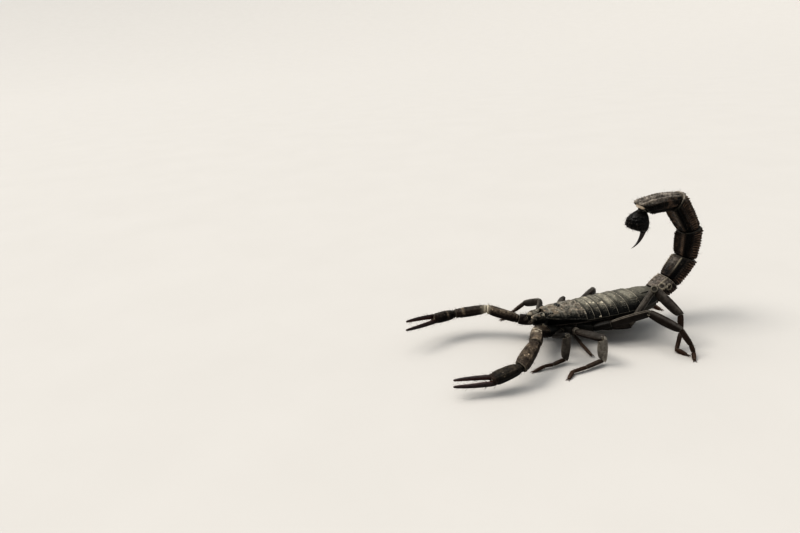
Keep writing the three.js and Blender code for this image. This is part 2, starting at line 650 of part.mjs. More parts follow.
function coxosternum() {
  const pieces = [];
  const sockets = [];
  for (const [name, side] of [['left', LEFT], ['right', RIGHT]]) {
    LEGS[name].forEach(([hip, knee], i) => {
      const from = point(COXA_ROOTS[i]);
      from.x *= side;
      pieces.push(segment({
        from,
        to: point(hip),
        endNormal: jointNormal(from, point(hip), point(knee)),
        ...LEG_SIZES.coxa,
        necks: COXA_NECKS,
        insets: [0, GAP / 2],
        rows: 3,
        sides: 6,
      }));
      sockets.push(legSegment(name, side, i, 'trochanter', { ...TROCHANTER, insets: [-GAP / 2, -1] }, GAP));
    });
    const { root, elbow } = PALPS[name];
    const from = point(PALP_COXA.inner);
    from.x *= side;
    pieces.push(segment({
      from,
      to: point(root),
      endNormal: jointNormal(palpArrival(side, point(root)), point(root), point(elbow)),
      halfWidth: PALP_COXA.halfWidth,
      halfHeight: PALP_COXA.halfHeight,
      necks: PALP_COXA.necks,
      insets: [0, GAP / 2],
      rows: 3,
      sides: 8,
    }));
  }
  const keel = segment({
    from: point(STERNUM.front),
    to: point(STERNUM.rear),
    halfWidth: STERNUM.halfWidth,
    halfHeight: STERNUM.halfHeight,
    necks: STERNUM.necks,
    insets: [0, 0],
    square: 3.4,
    rows: 5,
    sides: 12,
  });
  const lid = closed(new THREE.BoxGeometry(40, 60, 10));
  lid.translate(0, -10, COXAE_TOP + 5);
  return cut(fuse([keel, ...pieces]), [lid, ...sockets]);
}

// A point inside the body on the way to the pincer arm's root.
function palpArrival(side, root) {
  const [x, y, z] = PALP_COXA.arrival;
  return root.clone().add(new THREE.Vector3(side * x, y, z));
}

const OVERLAP = -0.25;                  // fused pieces reach this far into each other
// The femur's far end is a round knee, and the patella is hollowed out to turn against it.
const FEMUR = { insets: [OVERLAP, -0.8], endNormal: undefined, rows: 7, necks: [0.72, 0.4] };
const KNEE_SOCKET = { ...FEMUR, insets: [OVERLAP, FEMUR.insets[1] - GAP] };
const LEG_PIECES = ['trochanter', 'femur', 'patella', 'tibia', 'basitarsus', 'telotarsus'];

// One segment of a leg, the spread options last; swollen makes it thicker all round.
function legSegment(name, side, index, kind, options, swollen = 0) {
  const joints = LEGS[name][index].map(point);
  const inner = point(COXA_ROOTS[index]);
  inner.x *= side;
  const i = LEG_PIECES.indexOf(kind);
  const { halfWidth, halfHeight } = LEG_SIZES[kind];
  const thick = (value) => value * LEG_GIRTH[index] + swollen;
  return segment({
    from: joints[i],
    to: joints[i + 1],
    startNormal: jointNormal(joints[i - 1] ?? inner, joints[i], joints[i + 1]),
    endNormal: joints[i + 2] && jointNormal(joints[i], joints[i + 1], joints[i + 2]),
    dorsal: point(LEG_DORSAL[name][index][i < 2 ? 'thigh' : 'shin']),
    halfWidth: halfWidth.map(thick),
    halfHeight: halfHeight.map(thick),
    ...options,
  });
}

function leg(name, side, index) {
  const [ankle, toe] = LEGS[name][index].slice(-2).map(point);
  const piece = (kind, options) => legSegment(name, side, index, kind, options);
  const femur = fuse([piece('trochanter', TROCHANTER), piece('femur', FEMUR)]);
  const socket = legSegment(name, side, index, 'femur', KNEE_SOCKET, 1.6 * GAP);
  const shin = piece('patella', { startNormal: undefined, insets: [0, GAP / 2], rows: 6 });
  const patella = cut(shin, [socket]);
  const foot = fuse([
    piece('tibia', { insets: [GAP / 2, OVERLAP], rows: 3, sides: 6, floor: FLOOR }),
    piece('basitarsus', { insets: [OVERLAP, OVERLAP], rows: 2, sides: 6, shearPower: 1, floor: FLOOR }),
    piece('telotarsus', { insets: [OVERLAP, 0], rows: 4, square: 4.5, necks: [0.9, 0.85], floor: FLOOR }),
    ...[LEFT, RIGHT].map((turn) => claw(ankle, toe, turn)),
  ]);
  const label = `leg_${name}_${index + 1}`;
  return [
    part(`${label}_femur`, femur, LEG_SHELL),
    part(`${label}_patella`, patella, LEG_SHELL),
    part(`${label}_foot`, foot, LEG_SHELL),
  ];
}

function claw(ankle, toe, turn) {
  const { length, root, tip, spread, sunk, arch, droop } = LEG_SIZES.claw;
  const ahead = toe.clone().sub(ankle).setZ(0).normalize().applyAxisAngle(UP, turn * degToRad(spread));
  const start = toe.clone().addScaledVector(ahead, -sunk);
  const bow = toe.clone().addScaledVector(ahead, length * 0.6).addScaledVector(UP, arch);
  const end = toe.clone().addScaledVector(ahead, length).addScaledVector(UP, -droop);
  const curve = new THREE.QuadraticBezierCurve3(start, bow, end);
  return horn({ curve, halfWidth: root, halfHeight: root, tip, rows: 2, sides: 4 });
}

function pectine(side) {
  const stops = PECTINE.spine.map(([x, y, z]) => new THREE.Vector3(side * x, y, z));
  const spine = new THREE.QuadraticBezierCurve3(...stops);
  const bar = loft(5, 6, (t, u, rho) => {
    const centre = spine.getPoint(t);
    const across = new THREE.Vector3().crossVectors(spine.getTangent(t), UP).normalize();
    const taper = lerp(1, PECTINE.taper, t);
    const [x, z] = section(u, PECTINE.halfWidth * taper, PECTINE.halfHeight * taper, 3);
    return centre.addScaledVector(across, rho * x).addScaledVector(UP, rho * z).toArray();
  });
  const comb = [bar];
  for (let i = 0; i < PECTINE.teeth; i += 1) {
    const t = lerp(PECTINE.firstTooth, PECTINE.lastTooth, i / (PECTINE.teeth - 1));
    const centre = spine.getPoint(t);
    const along = spine.getTangent(t);
    const back = new THREE.Vector3(-side * along.y, side * along.x, 0).normalize();
    const end = centre.clone().addScaledVector(back, PECTINE.tooth * (1 - PECTINE.shorter * t));
    comb.push(horn({
      curve: new THREE.LineCurve3(centre, end),
      halfWidth: PECTINE.toothHalf,
      halfHeight: PECTINE.toothHalf,
      tip: PECTINE.toothTip,
      rows: 1,
      sides: 4,
    }));
  }
  return fuse(comb);
}

// ---------------------------------------------------------------- the whole animal

const scorpion = new THREE.Group();
scorpion.add(part('carapace', carapace(), SHELL));
scorpion.add(part('coxosternum', coxosternum(), SHELL));
scorpion.add(...bodyRings());
scorpion.add(...tailRings());
scorpion.add(part('telson', telson(), TAIL_SHELL));
for (const [name, side] of [['left', LEFT], ['right', RIGHT]]) {
  scorpion.add(part(`eye_${name}`, ball(eyeCentre(side), EYES.radius, 8), EYE));
  scorpion.add(part(`chelicera_${name}`, chelicera(side), SHELL));
  scorpion.add(part(`pectine_${name}`, pectine(side), SOFT));
  scorpion.add(...palp(name, PALPS[name]));
  LEG_GIRTH.forEach((_, index) => scorpion.add(...leg(name, side, index)));
}

// The origin is under the middle of the animal's box, on the floor.
const box = new THREE.Box3().setFromObject(scorpion);
const middle = box.getCenter(new THREE.Vector3());
const group = new THREE.Group();
scorpion.position.set(-middle.x, -middle.y, -FLOOR);
group.add(scorpion);

export default group;
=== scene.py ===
"""Looks of the thick-tailed scorpion: fine shells, joint skin, eyes, combs, bristles, floor and light.

Sizes are the CAD model's own, in millimetres from the middle of the animal with its head towards
-Y and its left side at +X. make() turns them into metres in the frame. Angles are in degrees.
"""

import math
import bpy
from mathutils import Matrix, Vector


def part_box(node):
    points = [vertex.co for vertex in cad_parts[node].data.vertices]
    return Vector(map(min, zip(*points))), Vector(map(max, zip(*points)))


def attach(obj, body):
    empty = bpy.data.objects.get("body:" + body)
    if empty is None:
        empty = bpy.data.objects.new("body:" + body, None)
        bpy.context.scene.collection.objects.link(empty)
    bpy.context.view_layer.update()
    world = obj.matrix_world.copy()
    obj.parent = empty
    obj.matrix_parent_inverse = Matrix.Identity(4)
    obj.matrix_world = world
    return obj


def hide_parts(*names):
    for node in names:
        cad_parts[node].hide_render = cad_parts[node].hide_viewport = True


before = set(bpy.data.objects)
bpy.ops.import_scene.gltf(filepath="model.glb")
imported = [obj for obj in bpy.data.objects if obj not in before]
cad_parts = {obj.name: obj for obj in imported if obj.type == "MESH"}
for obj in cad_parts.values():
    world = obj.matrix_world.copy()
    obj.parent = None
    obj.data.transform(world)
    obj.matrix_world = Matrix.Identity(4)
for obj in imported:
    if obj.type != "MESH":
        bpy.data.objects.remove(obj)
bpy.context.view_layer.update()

from types import SimpleNamespace as Sizes

import bpy
import numpy as np

MM = 0.001

# ------------------------------------------------------------------ driving dimensions

LEFT, RIGHT = 1, -1
SIDES = (("left", LEFT), ("right", RIGHT))
LEFTWARD, UP = np.array([1.0, 0.0, 0.0]), np.array([0.0, 0.0, 1.0])
JOINT_GAP = 0.12                       # between the rims of neighbouring shells

CARAPACE = Sizes(
    front=-24.1, rear=-8.7, front_half=4.3, rear_half=8.0, tops=(14.9, 15.3, 15.2), margins=(12.6, 10.9),
    underside=9.5, tuck=0.86, front_dip=0.45, square=2.6, lift=0.62, spread=0.8, corner=0.14,
    corner_half=0.62, top_share=0.8,
)
FURROW = Sizes(half=0.1, depth=0.45, clear=1.6, ease=1.4, fade=(-12, -9.5), faded=0.4)
EYES = Sizes(y=-17.4, x=0.9, radius=0.62, sunk=0.2, mound=1.5, rise=0.6, narrow=6.2)
LATERAL_EYES = Sizes(count=3, y=-22.9, x=3.35, spacing=0.75, step=0.22, radius=0.3, socket=1.15, out=0.1)

RING_LENGTHS = (2.9, 2.8, 3.4, 3.9, 4.9, 6.0, 10.3)
BODY = Sizes(
    front_half=8.1, full_half=9.0, tail_half=5.0, full_at=5.0, taper_from=12.0, taper=1.6, front_top=15.3,
    rear_top=15.9, rear_dip=0.5, margin=10.6, rear_margin=11.6, rear_belly=8.3, free_belly=7.2, lip=0.28,
    tile=0.22, tucked=0.1, top_share=0.58, square=2.4, lift=0.7, tuck=0.93, side_round=0.6, side_drop=0.5,
    belly_round=0.45,
)
RINGS_OVER_HIPS = 4                    # the first rings lie above the leg roots
SPIRACLE = Sizes(across=0.55, half_length=0.95, half_width=0.28, depth=0.28, rings=range(2, 6))

TAIL_JOINTS = np.array([
    (0, 25.8, 12.3), (0, 34.0, 17.2), (0, 41.0, 26.2), (0, 41.7, 38.2), (0, 33.9, 50.6), (0, 18.5, 49.8),
])
# Half-width, half-height, taper towards the end, girth at both necks and bow of each tail ring.
TAIL_RINGS = (
    (4.4, 3.6, 0.97, (0.84, 0.86), 0.0), (4.5, 3.8, 0.97, (0.78, 0.88), 0.0),
    (4.5, 4.0, 0.97, (0.74, 0.92), 0.0), (4.3, 3.85, 0.97, (0.86, 0.86), 0.0),
    (3.8, 3.1, 0.8, (0.86, 0.9), -0.5),
)
KEEL_ANGLES = (30, 75, 105, 135, 165)  # from the middle of the back, on both sides
KEEL = Sizes(height=0.8, width=0.38, bead=0.9, groove=0.6, groove_width=19)
RASP = Sizes(start=80, end=150, edge=10, height=0.25)  # fine teeth along both outer sides of the tail
RING_START = 0.9                       # a ring's girth at its start, as a share of its middle's
STRIDULATING = 2                       # rings whose back is finely cross-ridged
# Round pale ridges on the first ring's left side: share along it, angle round it and radius.
ROSETTES = ((0.42, 48, 1.2), (0.68, 83, 1.1))
TELSON = Sizes(
    seat=-84, pitch=-69, bend=90, curl=1.7, neck=1.25, bulb=8.85, sting=8.3, neck_half=1.35,
    half_width=3.9, half_depth=4.4, sag=3.0, sting_half=1.0, tip_half=0.05, lead=0.86, full_width=0.6,
    full_depth=0.38, seat_share=0.3, shift=0.7, shift_share=0.2, square=2.1,
)
END_SKIN = Sizes(halves=(2.3, 1.5, 0.9), off=0.75, sunk=0.15)

CHELICERA = Sizes(length=5.2, half_width=1.6, half_height=2.15, z=12.3, x=1.78, taper=0.8,
                  sunk=0.2, droop=0.5)
# Claws of the jaws: their root from the jaw's end, and their bow and tip from the root.
JAW_CLAW = Sizes(root=(0.42, 0.9, -0.3), bow=(0.35, -1.44, -0.2), tip=(-0.12, -2.4, -0.7), half_width=0.42,
                 half_height=0.55, sharp=0.05, teeth=3, tooth=0.5, tooth_half=0.17)
# The joints of an arm are its root, elbow, arm, wrist and palm.
PALPS = {
    "left": Sizes(
        joints=np.array([(5.9, -24.6, 7.9), (6.3, -29.4, 9.4), (17, -35.8, 10.8), (26.1, -46.4, 7.9),
                         (26.3, -57.7, 5.4)]),
        fixed_tip=(21.6, -69.6, 5.6), moving_tip=(24.3, -70.7, 4.8), opening=(0.75, 0, -0.66)),
    "right": Sizes(
        joints=np.array([(-5.9, -24.6, 7.9), (-8, -29.8, 8.7), (-15.4, -40.1, 12), (-20.6, -52, 10),
                         (-18.8, -62.3, 10.3)]),
        fixed_tip=(-12.4, -75.6, 10.8), moving_tip=(-14.8, -74.6, 13.2), opening=(-0.75, 0, 0.66)),
}
# Half-widths and half-heights of the segments at their start, middle and end.
PALP_SIZES = {
    "trochanter": ((1.95, 2.3, 2.05), (1.8, 2.1, 1.9)),
    "femur": ((1.95, 2.4, 2.35), (1.75, 1.95, 1.9)),
    "patella": ((2.0, 2.65, 2.5), (1.7, 2.0, 1.85)),
    "hand": ((1.8, 2.5, 2.2), (1.7, 2.1, 1.95)),
}
PALP_COXA = Sizes(inner=(3, -18.6, 7.2), arrival=(-1.2, 4, -0.4), necks=(0.7, 0.9),
                  sizes=((1.9, 2.35, 2.1), (1.6, 1.95, 1.9)))
FINGER = Sizes(half_width=0.9, half_height=0.95, tip=0.16, bow=0.45, split=1.1, teeth=26, blunt=3,
               fullness=0.35, slim=0.35, rows=150, sides=60)

# Leg joints: hip, trochanter end, knee, shin, heel, ankle and toe.
LEGS = {
    "left": np.array([
        ((5.5, -19, 7), (7.6, -22.6, 6.7), (18.5, -24, 12), (17.7, -24.2, 1.9),
         (18.7, -29.6, 1.5), (18.3, -32.9, 1.3), (18.8, -37.2, 0.3)),
        ((7, -13.5, 7), (10, -14.3, 7.8), (24.2, -12.9, 11.3), (23.8, -12.4, 2),
         (25.2, -20.1, 1.5), (25.6, -25.6, 1.25), (27.9, -28.6, 0.3)),
        ((8, -6, 7), (12, -1, 9.4), (15.5, 13.3, 12.5), (29.4, 16.1, 11),
         (30.4, 20.4, 4.5), (31.4, 21.0, 1.8), (34.0, 19.3, 0.3)),
        ((9.2, 1.8, 6.7), (10.7, 8.6, 6.5), (10.9, 18.4, 20), (22.4, 21.6, 13),
         (23.3, 21.7, 6), (26.4, 17.8, 1.3), (29.8, 19.4, 0.3)),
    ]),
    "right": np.array([
        ((-5.5, -19, 7), (-8.4, -21, 7), (-16.5, -15.4, 10.3), (-28.3, -16.7, 5),
         (-27.3, -21.8, 3), (-27.2, -24.4, 1.6), (-26.3, -28.2, 0.3)),
        ((-7, -13.5, 7), (-10.2, -12.3, 7.4), (-16.2, -5.1, 9.8), (-7.5, -8.4, 2),
         (1.5, -10.2, 1.9), (9.5, -11.8, 1.7), (17.0, -12.5, 1.0)),
        ((-8, -6, 7), (-11.4, -1.8, 7.6), (-14.4, 8, 12.1), (-22, 13, 5),
         (-25.4, 16, 3), (-27.6, 18, 1.4), (-30.4, 20.2, 0.3)),
        ((-9.2, 1.8, 6.7), (-11.8, 8.4, 6.2), (-11.9, 22, 8.8), (-12, 31, 4),
         (-11.8, 34, 2.4), (-11.3, 36.3, 1.4), (-7.3, 37.6, 0.3)),
    ]),
}
LEG_GIRTH = (0.84, 0.94, 1.0, 1.08)
# The upper side of each leg's thigh, and of its shin and foot.
LEG_DORSAL = {
    "left": (((0.35, 1, 0.35), (0.35, 1, 0.35)), ((0.35, 1, 0.35), (0.35, 1, 0.35)),
             ((0.5, 0, 1), (0.5, 0, 1)), ((0.7, -0.6, 0.45), (0.5, 0, 1))),
    "right": (((-0.5, 0, 1), (-0.5, 0, 1)), ((0.9, -0.25, 0.34), (0.6, -0.4, 0.7)),
              ((0.9, -0.25, 0.34), (0.6, -0.2, 0.75)), ((-0.5, 0, 1), (-0.5, 0, 1))),
}
LEG_PIECES = ("trochanter", "femur", "patella", "tibia", "basitarsus", "telotarsus")
LEG_SIZES = {
    "coxa": ((1.5, 1.8, 1.6), (1.5, 1.7, 1.6)),
    "trochanter": ((1.2, 1.4, 1.2), (1.3, 1.5, 1.35)),
    "femur": ((1.0, 1.15, 1.05), (1.45, 2.05, 1.75)),
    "patella": ((1.12, 1.42, 1.12), (1.35, 1.85, 1.35)),
    "tibia": ((0.85, 0.85, 0.72), (0.95, 1.0, 0.8)),
    "basitarsus": ((0.68, 0.7, 0.6), (0.75, 0.78, 0.66)),
    "telotarsus": ((0.58, 0.64, 0.5), (0.66, 0.74, 0.6)),
}
CLAW = Sizes(length=1.5, root=0.24, tip=0.05, spread=24, droop=0.22, sunk=0.35, lift=0.05, bow=0.6, arch=0.3)
# Spurs at a leg's joints: their root and direction ahead, out and up, their length and thickness.
ANKLE_SPUR = Sizes(root=(-0.3, 0.35, -0.3), direction=(1, 0.5, -0.5), length=0.9, thick=0.13)
HEEL_SPUR = Sizes(root=(-0.4, 0, -0.4), direction=(0.8, 0, -0.5), length=1.2, thick=0.16)
KNEE = Sizes(reach=0.8, necks=(0.72, 0.4), play=0.12, swollen=0.14)  # its reach is past the joint
PATELLA_REACH = 0.9                    # how far the domed root of the patella reaches past the joint
COXA_ROOTS = ((1.2, -21.2, 7), (1.3, -18, 6.9), (1.4, -13.6, 6.8), (1.5, -9.4, 6.8))
PECTINE = Sizes(points=((1.4, 5.1, 5.7), (3.4, 6.8, 5.2), (9.6, 8.6, 4.6)), teeth=30, half_width=0.75,
                half_height=0.5, taper=0.45, tooth=2.3, tooth_half=0.12, rows=90)

CAMERA = Sizes(place=(193.92, -133.77, 113.46), heading=164.434, pitch=-19.593, roll=-3.869, lens=27.45,
               sensor=36.0, clip=(0.01, 60))

# The animal's middle in the frame, from the carapace's own box.
carapace_low, carapace_high = (np.array(corner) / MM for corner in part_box("carapace"))
MIDDLE = np.array([
    (carapace_low[0] + carapace_high[0]) / 2,
    carapace_low[1] - CARAPACE.front,
    0.0,
])

# ------------------------------------------------------------------ arithmetic


def unit(vector):
    """The direction of a vector, or of each row of many."""
    vector = np.asarray(vector, float)
    return vector / np.linalg.norm(vector, axis=-1, keepdims=True)


def mirrored(point, side):
    """A point that is given for the left side, on the side asked for."""
    return np.array(point, float) * (side, 1, 1)


def ease(value, low, high):
    """0 below low, 1 above high, and smooth between."""
    share = np.clip((value - low) / (high - low), 0, 1)
    return share * share * (3 - 2 * share)


def hump(distance, width):
    """1 at no distance, and softly down to 0 beyond the width."""
    return np.exp(-(distance / width) ** 2)


def hoop(distance, height, place, width):
    """A raised or sunken ring round a body, at a place from its end."""
    return height * hump(distance - place, width)


def power(base, exponent):
    """A power that rounding just below zero can't break."""
    return np.maximum(base, 0) ** exponent


def mix(start, end, share):
    return start + (end - start) * share


def swell(values, share):
    """A value that runs from the first of three over the second to the third."""
    first, middle, last = values
    return mix(first, last, share) + 4 * share * (1 - share) * (middle - (first + last) / 2)


def section(turn, half_width, half_height, square):
    """A point of a rounded section, turn 0 at its top: square 2 is an ellipse, more is boxier."""
    sine, cosine = np.sin(2 * np.pi * turn), np.cos(2 * np.pi * turn)
    across = half_width * np.sign(sine) * np.abs(sine) ** (2 / square)
    upward = half_height * np.sign(cosine) * np.abs(cosine) ** (2 / square)
    return across, upward


def girth(share, necks, shoulder):
    """Share of the full girth along a limb, which narrows to its necks at both ends."""
    first = share < 0.5
    neck = np.where(first, *necks)
    rest = np.clip(1 - np.where(first, share, 1 - share) / shoulder, 0, 1)
    return neck + (1 - neck) * np.sqrt(1 - rest * rest)


def lattice(shares, sides):
    """Shares along a tube as a column and shares round it as a row."""
    return shares[:, None], (np.arange(sides) / sides)[None, :]


def halves(turn):
    """The way round from the middle of the back, from 0 to 1, and the side that it goes to."""
    around = np.where(turn > 0.5, turn - 1, turn)
    return np.abs(around) * 2, np.sign(around)


def scatter(cells, seed):
    """A number from 0 to 1 for each whole-number cell, always the same for the same seed."""
    x, y, z = (cells[..., axis].astype(np.int64) for axis in range(3))
    mixed = (x * 73856093) ^ (y * 19349663) ^ (z * 83492791) ^ (seed * 2654435761)
    mixed = (mixed ^ (mixed >> 13)) * 1274126177
    return ((mixed ^ (mixed >> 16)) & 0xFFFFFF) / 0xFFFFFF


def mottle(points, size, seed):
    """Smooth noise from -1 to 1 whose lumps are about size across."""
    scaled = points / size
    cell = np.floor(scaled)
    part = ease(scaled - cell, 0, 1)
    total = 0
    for corner in np.ndindex(2, 2, 2):
        weight = np.prod(np.where(corner, part, 1 - part), axis=-1)
        total = total + weight * scatter(cell + corner, seed)
    return 2 * total - 1


def blots(points, size, seed, low, high):
    """Soft-edged patches from 0 to 1: the higher low is, the fewer they are."""
    return ease(mottle(points, size, seed), low, high)


def pebbles(points, size, seed):
    """Rounded granules from 0 to 1 high, about size across and of uneven height."""
    scaled = points / size
    base = np.floor(scaled - 0.5)
    best = np.zeros(points.shape[:-1])
    for corner in np.ndindex(2, 2, 2):
        cell = base + corner
        shift = np.stack([scatter(cell, seed + axis) for axis in range(3)], -1)
        centre = cell + 0.5 + 0.5 * (shift - 0.5)
        radius = 0.34 + 0.22 * scatter(cell, seed + 3)
        near = np.linalg.norm(scaled - centre, axis=-1) / radius
        best = np.maximum(best, power(1 - near * near, 0.7) * (0.4 + 0.6 * scatter(cell, seed + 4)))
    return best


# Layers of granules on each kind of surface: size, seed and height.
GRAINS = {
    "carapace": ((0.6, 11, 0.12), (0.3, 12, 0.04)), "body ring": ((0.52, 21, 0.09), (0.26, 22, 0.03)),
    "bulb": ((1.25, 54, 0.42), (0.6, 52, 0.16)), "arm": ((0.45, 72, 0.05), (0.22, 73, 0.02)),
    "leg": ((0.34, 82, 0.03), (0.18, 83, 0.012)), "coxa": ((0.5, 91, 0.05),),
    "palp coxa": ((0.5, 92, 0.06),), "breast": ((0.5, 93, 0.05),),
}


def granules(points, surface):
    return sum(height * pebbles(points, size, seed) for size, seed, height in GRAINS[surface])


def beads(distance, spacing, seed):
    """A row of rounded granules along a ridge, of uneven height."""
    place = distance / spacing
    number = np.floor(place)
    cells = np.stack([number, number * 0 + seed, number * 0], -1)
    uneven = 0.6 + 0.4 * scatter(cells, seed)
    return uneven * power(np.sin(np.pi * (place - number)), 0.7)


def bezier(start, bow, end, share):
    """The point or points at a share of a curve that a third point pulls aside."""
    share = np.asarray(share)[..., None]
    return (1 - share) ** 2 * start + 2 * share * (1 - share) * bow + share ** 2 * end


def follow(path, shares):
    """Points at these shares of a path, whose own points count as evenly spaced."""
    stops = np.linspace(0, 1, len(path))
    return np.stack([np.interp(shares, stops, np.asarray(path)[:, axis]) for axis in range(3)], -1)


# ------------------------------------------------------------------ meshes


def volume(points, quads):
    """Signed size of what quads enclose, positive where they face out."""
    a, b, c, d = (points[quads[:, i]] for i in range(4))
    middle = points.mean(0)
    pairs = np.cross(b - middle, c - middle), np.cross(c - middle, d - middle)
    return sum(np.einsum("ij,ij->", a - middle, pair) for pair in pairs)


RIM = ((0.94, 0.03), (0.88, 0.25), (0.84, 1.0))  # girth and depth of the steps into an open end


class Patchwork:
    """Points, faces and surface marks of one piece, gathered before its mesh is made."""

    def __init__(self):
        self.points, self.marks, self.quads, self.triangles = [], [], [], []
        self.count = 0

    def rings(self, rings, marks):
        """Adds a closed body made of rings of points, with a single point at each end."""
        rows, sides = rings.shape[:2]
        points = np.concatenate([rings.reshape(-1, 3), [rings[0].mean(0), rings[-1].mean(0)]])
        self.points.append(points)
        self.marks.append(np.concatenate([marks.reshape(-1, 4), [marks[0].mean(0), marks[-1].mean(0)]]))
        ring, last, pole = np.arange(sides), (rows - 1) * sides, rows * sides
        after = (ring + 1) % sides
        here = np.arange(rows - 1)[:, None] * sides
        quads = np.stack([here + ring, here + after, here + sides + after, here + sides + ring], -1)
        quads = quads.reshape(-1, 4)
        caps = (np.stack([np.full(sides, pole), after, ring], -1),
                np.stack([np.full(sides, pole + 1), last + ring, last + after], -1))
        order = -1 if volume(points, quads) < 0 else 1
        self.quads.append(quads[:, ::order] + self.count)
        self.triangles += [cap[:, ::order] + self.count for cap in caps]
        self.count += len(points)
        return self

    def shell(self, grid, marks, depths, inner_pale=0.5):
        """Adds a tube with a rim at each end and a sunken end face, like the shell of a joint."""
        rings, marked = [grid], [marks]
        for end, beside, depth in ((0, 1, depths[0]), (-1, -2, depths[1])):
            centre = grid[end].mean(0)
            inward = unit(grid[beside].mean(0) - centre)
            for share, sink in RIM:
                mark = marks[end] * (1 - sink, 1, 1, 1)
                mark[:, 1] = inner_pale * sink
                at = len(rings) if end else 0
                rings.insert(at, (centre + (grid[end] - centre) * share + inward * depth * sink)[None])
                marked.insert(at, mark[None])
        return self.rings(np.concatenate(rings), np.concatenate(marked))


def make(name, patchwork, material, replaces=()):
    """The mesh object of a piece, which rides on the one body and stands for its CAD nodes."""
    mesh = bpy.data.meshes.new(name)
    points = (np.concatenate(patchwork.points) + MIDDLE) * MM
    faces = np.concatenate(patchwork.quads), np.concatenate(patchwork.triangles)
    sizes = np.repeat([4, 3], [len(part) for part in faces])
    corners = np.concatenate([part.ravel() for part in faces])
    mesh.vertices.add(len(points))
    mesh.vertices.foreach_set("co", points.astype(np.float32).ravel())
    mesh.loops.add(len(corners))
    mesh.loops.foreach_set("vertex_index", corners.astype(np.int32))
    mesh.polygons.add(len(sizes))
    mesh.polygons.foreach_set("loop_start", (np.cumsum(sizes) - sizes).astype(np.int32))
    mesh.polygons.foreach_set("use_smooth", np.full(len(sizes), True))
    marks = mesh.attributes.new("marks", "FLOAT_COLOR", "POINT")
    marks.data.foreach_set("color", np.concatenate(patchwork.marks).astype(np.float32).ravel())
    mesh.update()
    mesh.validate()
    mesh.materials.append(material)
    piece = bpy.data.objects.new(name, mesh)
    bpy.context.scene.collection.objects.link(piece)
    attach(piece, "root")
    if replaces:
        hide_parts(*replaces)
    return piece


def stand_in(node, patchwork, material):
    """A piece that stands for the CAD node of the same name."""
    return make(node, patchwork, material, [node])


def outward(grid):
    """Unit normals of a surface made of closed rings, pointing away from its axis."""
    around = np.roll(grid, -1, axis=1) - np.roll(grid, 1, axis=1)
    normal = np.cross(around, np.gradient(grid, axis=0))
    normal /= np.linalg.norm(normal, axis=-1, keepdims=True) + 1e-12
    spokes = grid - grid.mean(1, keepdims=True)
    return normal if np.einsum("ijk,ijk->", normal, spokes) >= 0 else -normal


def raise_by(grid, height):
    return grid + outward(grid) * height[..., None]


def above_floor(grid, height=0.0):
    """The grid with nothing of it lower than this height."""
    grid[..., 2] = np.maximum(grid[..., 2], height)
    return grid


def marks_of(grid, ridge=0, pale=0, warm=0, dust_and_sheen=0):
    """Surface marks that the materials read: raised parts, lighter as wear and painted highlight, pale skin,
    warm brown, and clinging dust that also stands for painted sheen on upward faces.
    """
    marks = np.zeros((*grid.shape[:2], 4))
    for channel, value in enumerate((ridge, pale, warm, dust_and_sheen)):
        marks[..., channel] = np.clip(value, 0, 1)
    return marks


def facing_up(grid, low=-0.1, high=0.9):
    """From 0 on a surface's sides and underside to 1 where it faces up."""
    return ease(outward(grid)[..., 2], low, high)


def axes(along, dorsal):
    """The directions across and up of a line, or of each point of one."""
    across = unit(np.cross(along, dorsal))
    return across, np.cross(across, along)


def sweep(centre, across, up, x, z):
    """A grid of points round a line, x of them across and z up."""
    across, up = (np.broadcast_to(axis, centre.shape)[:, None] for axis in (across, up))
    return centre[:, None] + x[..., None] * across + z[..., None] * up


def ball(centre, radius, rows=14, sides=20, ridge=0.0):
    """Rings and marks of a ball with its poles up and down."""
    angle, turn = lattice(np.linspace(0.06, np.pi - 0.06, rows), sides)
    x, y = np.sin(angle) * np.cos(2 * np.pi * turn), np.sin(angle) * np.sin(2 * np.pi * turn)
    grid = np.stack([x, y, np.cos(angle) + 0 * turn], -1) * radius + centre
    return grid, marks_of(grid, ridge)


def horn(start, bow, end, half_width, half_height, tip, fullness=1.0, rows=24, sides=16, dorsal=UP,
         blunt=2, slim=0.35):
    """A tapering body along a curve, which keeps its girth longer where blunt is high."""
    share, turn = lattice(np.linspace(0, 1, rows), sides)
    centre = bezier(start, bow, end, share[:, 0])
    thick = power(1 - share ** blunt, fullness) * (1 - slim * share)
    x, z = section(turn, mix(tip, half_width, thick), mix(tip, half_height, thick), 2.0)
    return sweep(centre, *axes(unit(np.gradient(centre, axis=0)), dorsal), x, z)


def thorn(start, end, *shape, **options):
    """A straight horn."""
    return horn(start, (start + end) / 2, end, *shape, **options)


# ------------------------------------------------------------------ limbs


def joint_normal(before, joint, after):
    """The normal of the plane in which the bodies either side of a joint meet."""
    return unit(unit(joint - before) + unit(after - joint))


def rows_along(rows):
    """Shares from 0 to 1, closer together towards both ends."""
    even = np.linspace(0, 1, rows)
    return even - 0.1 * np.sin(2 * np.pi * even)


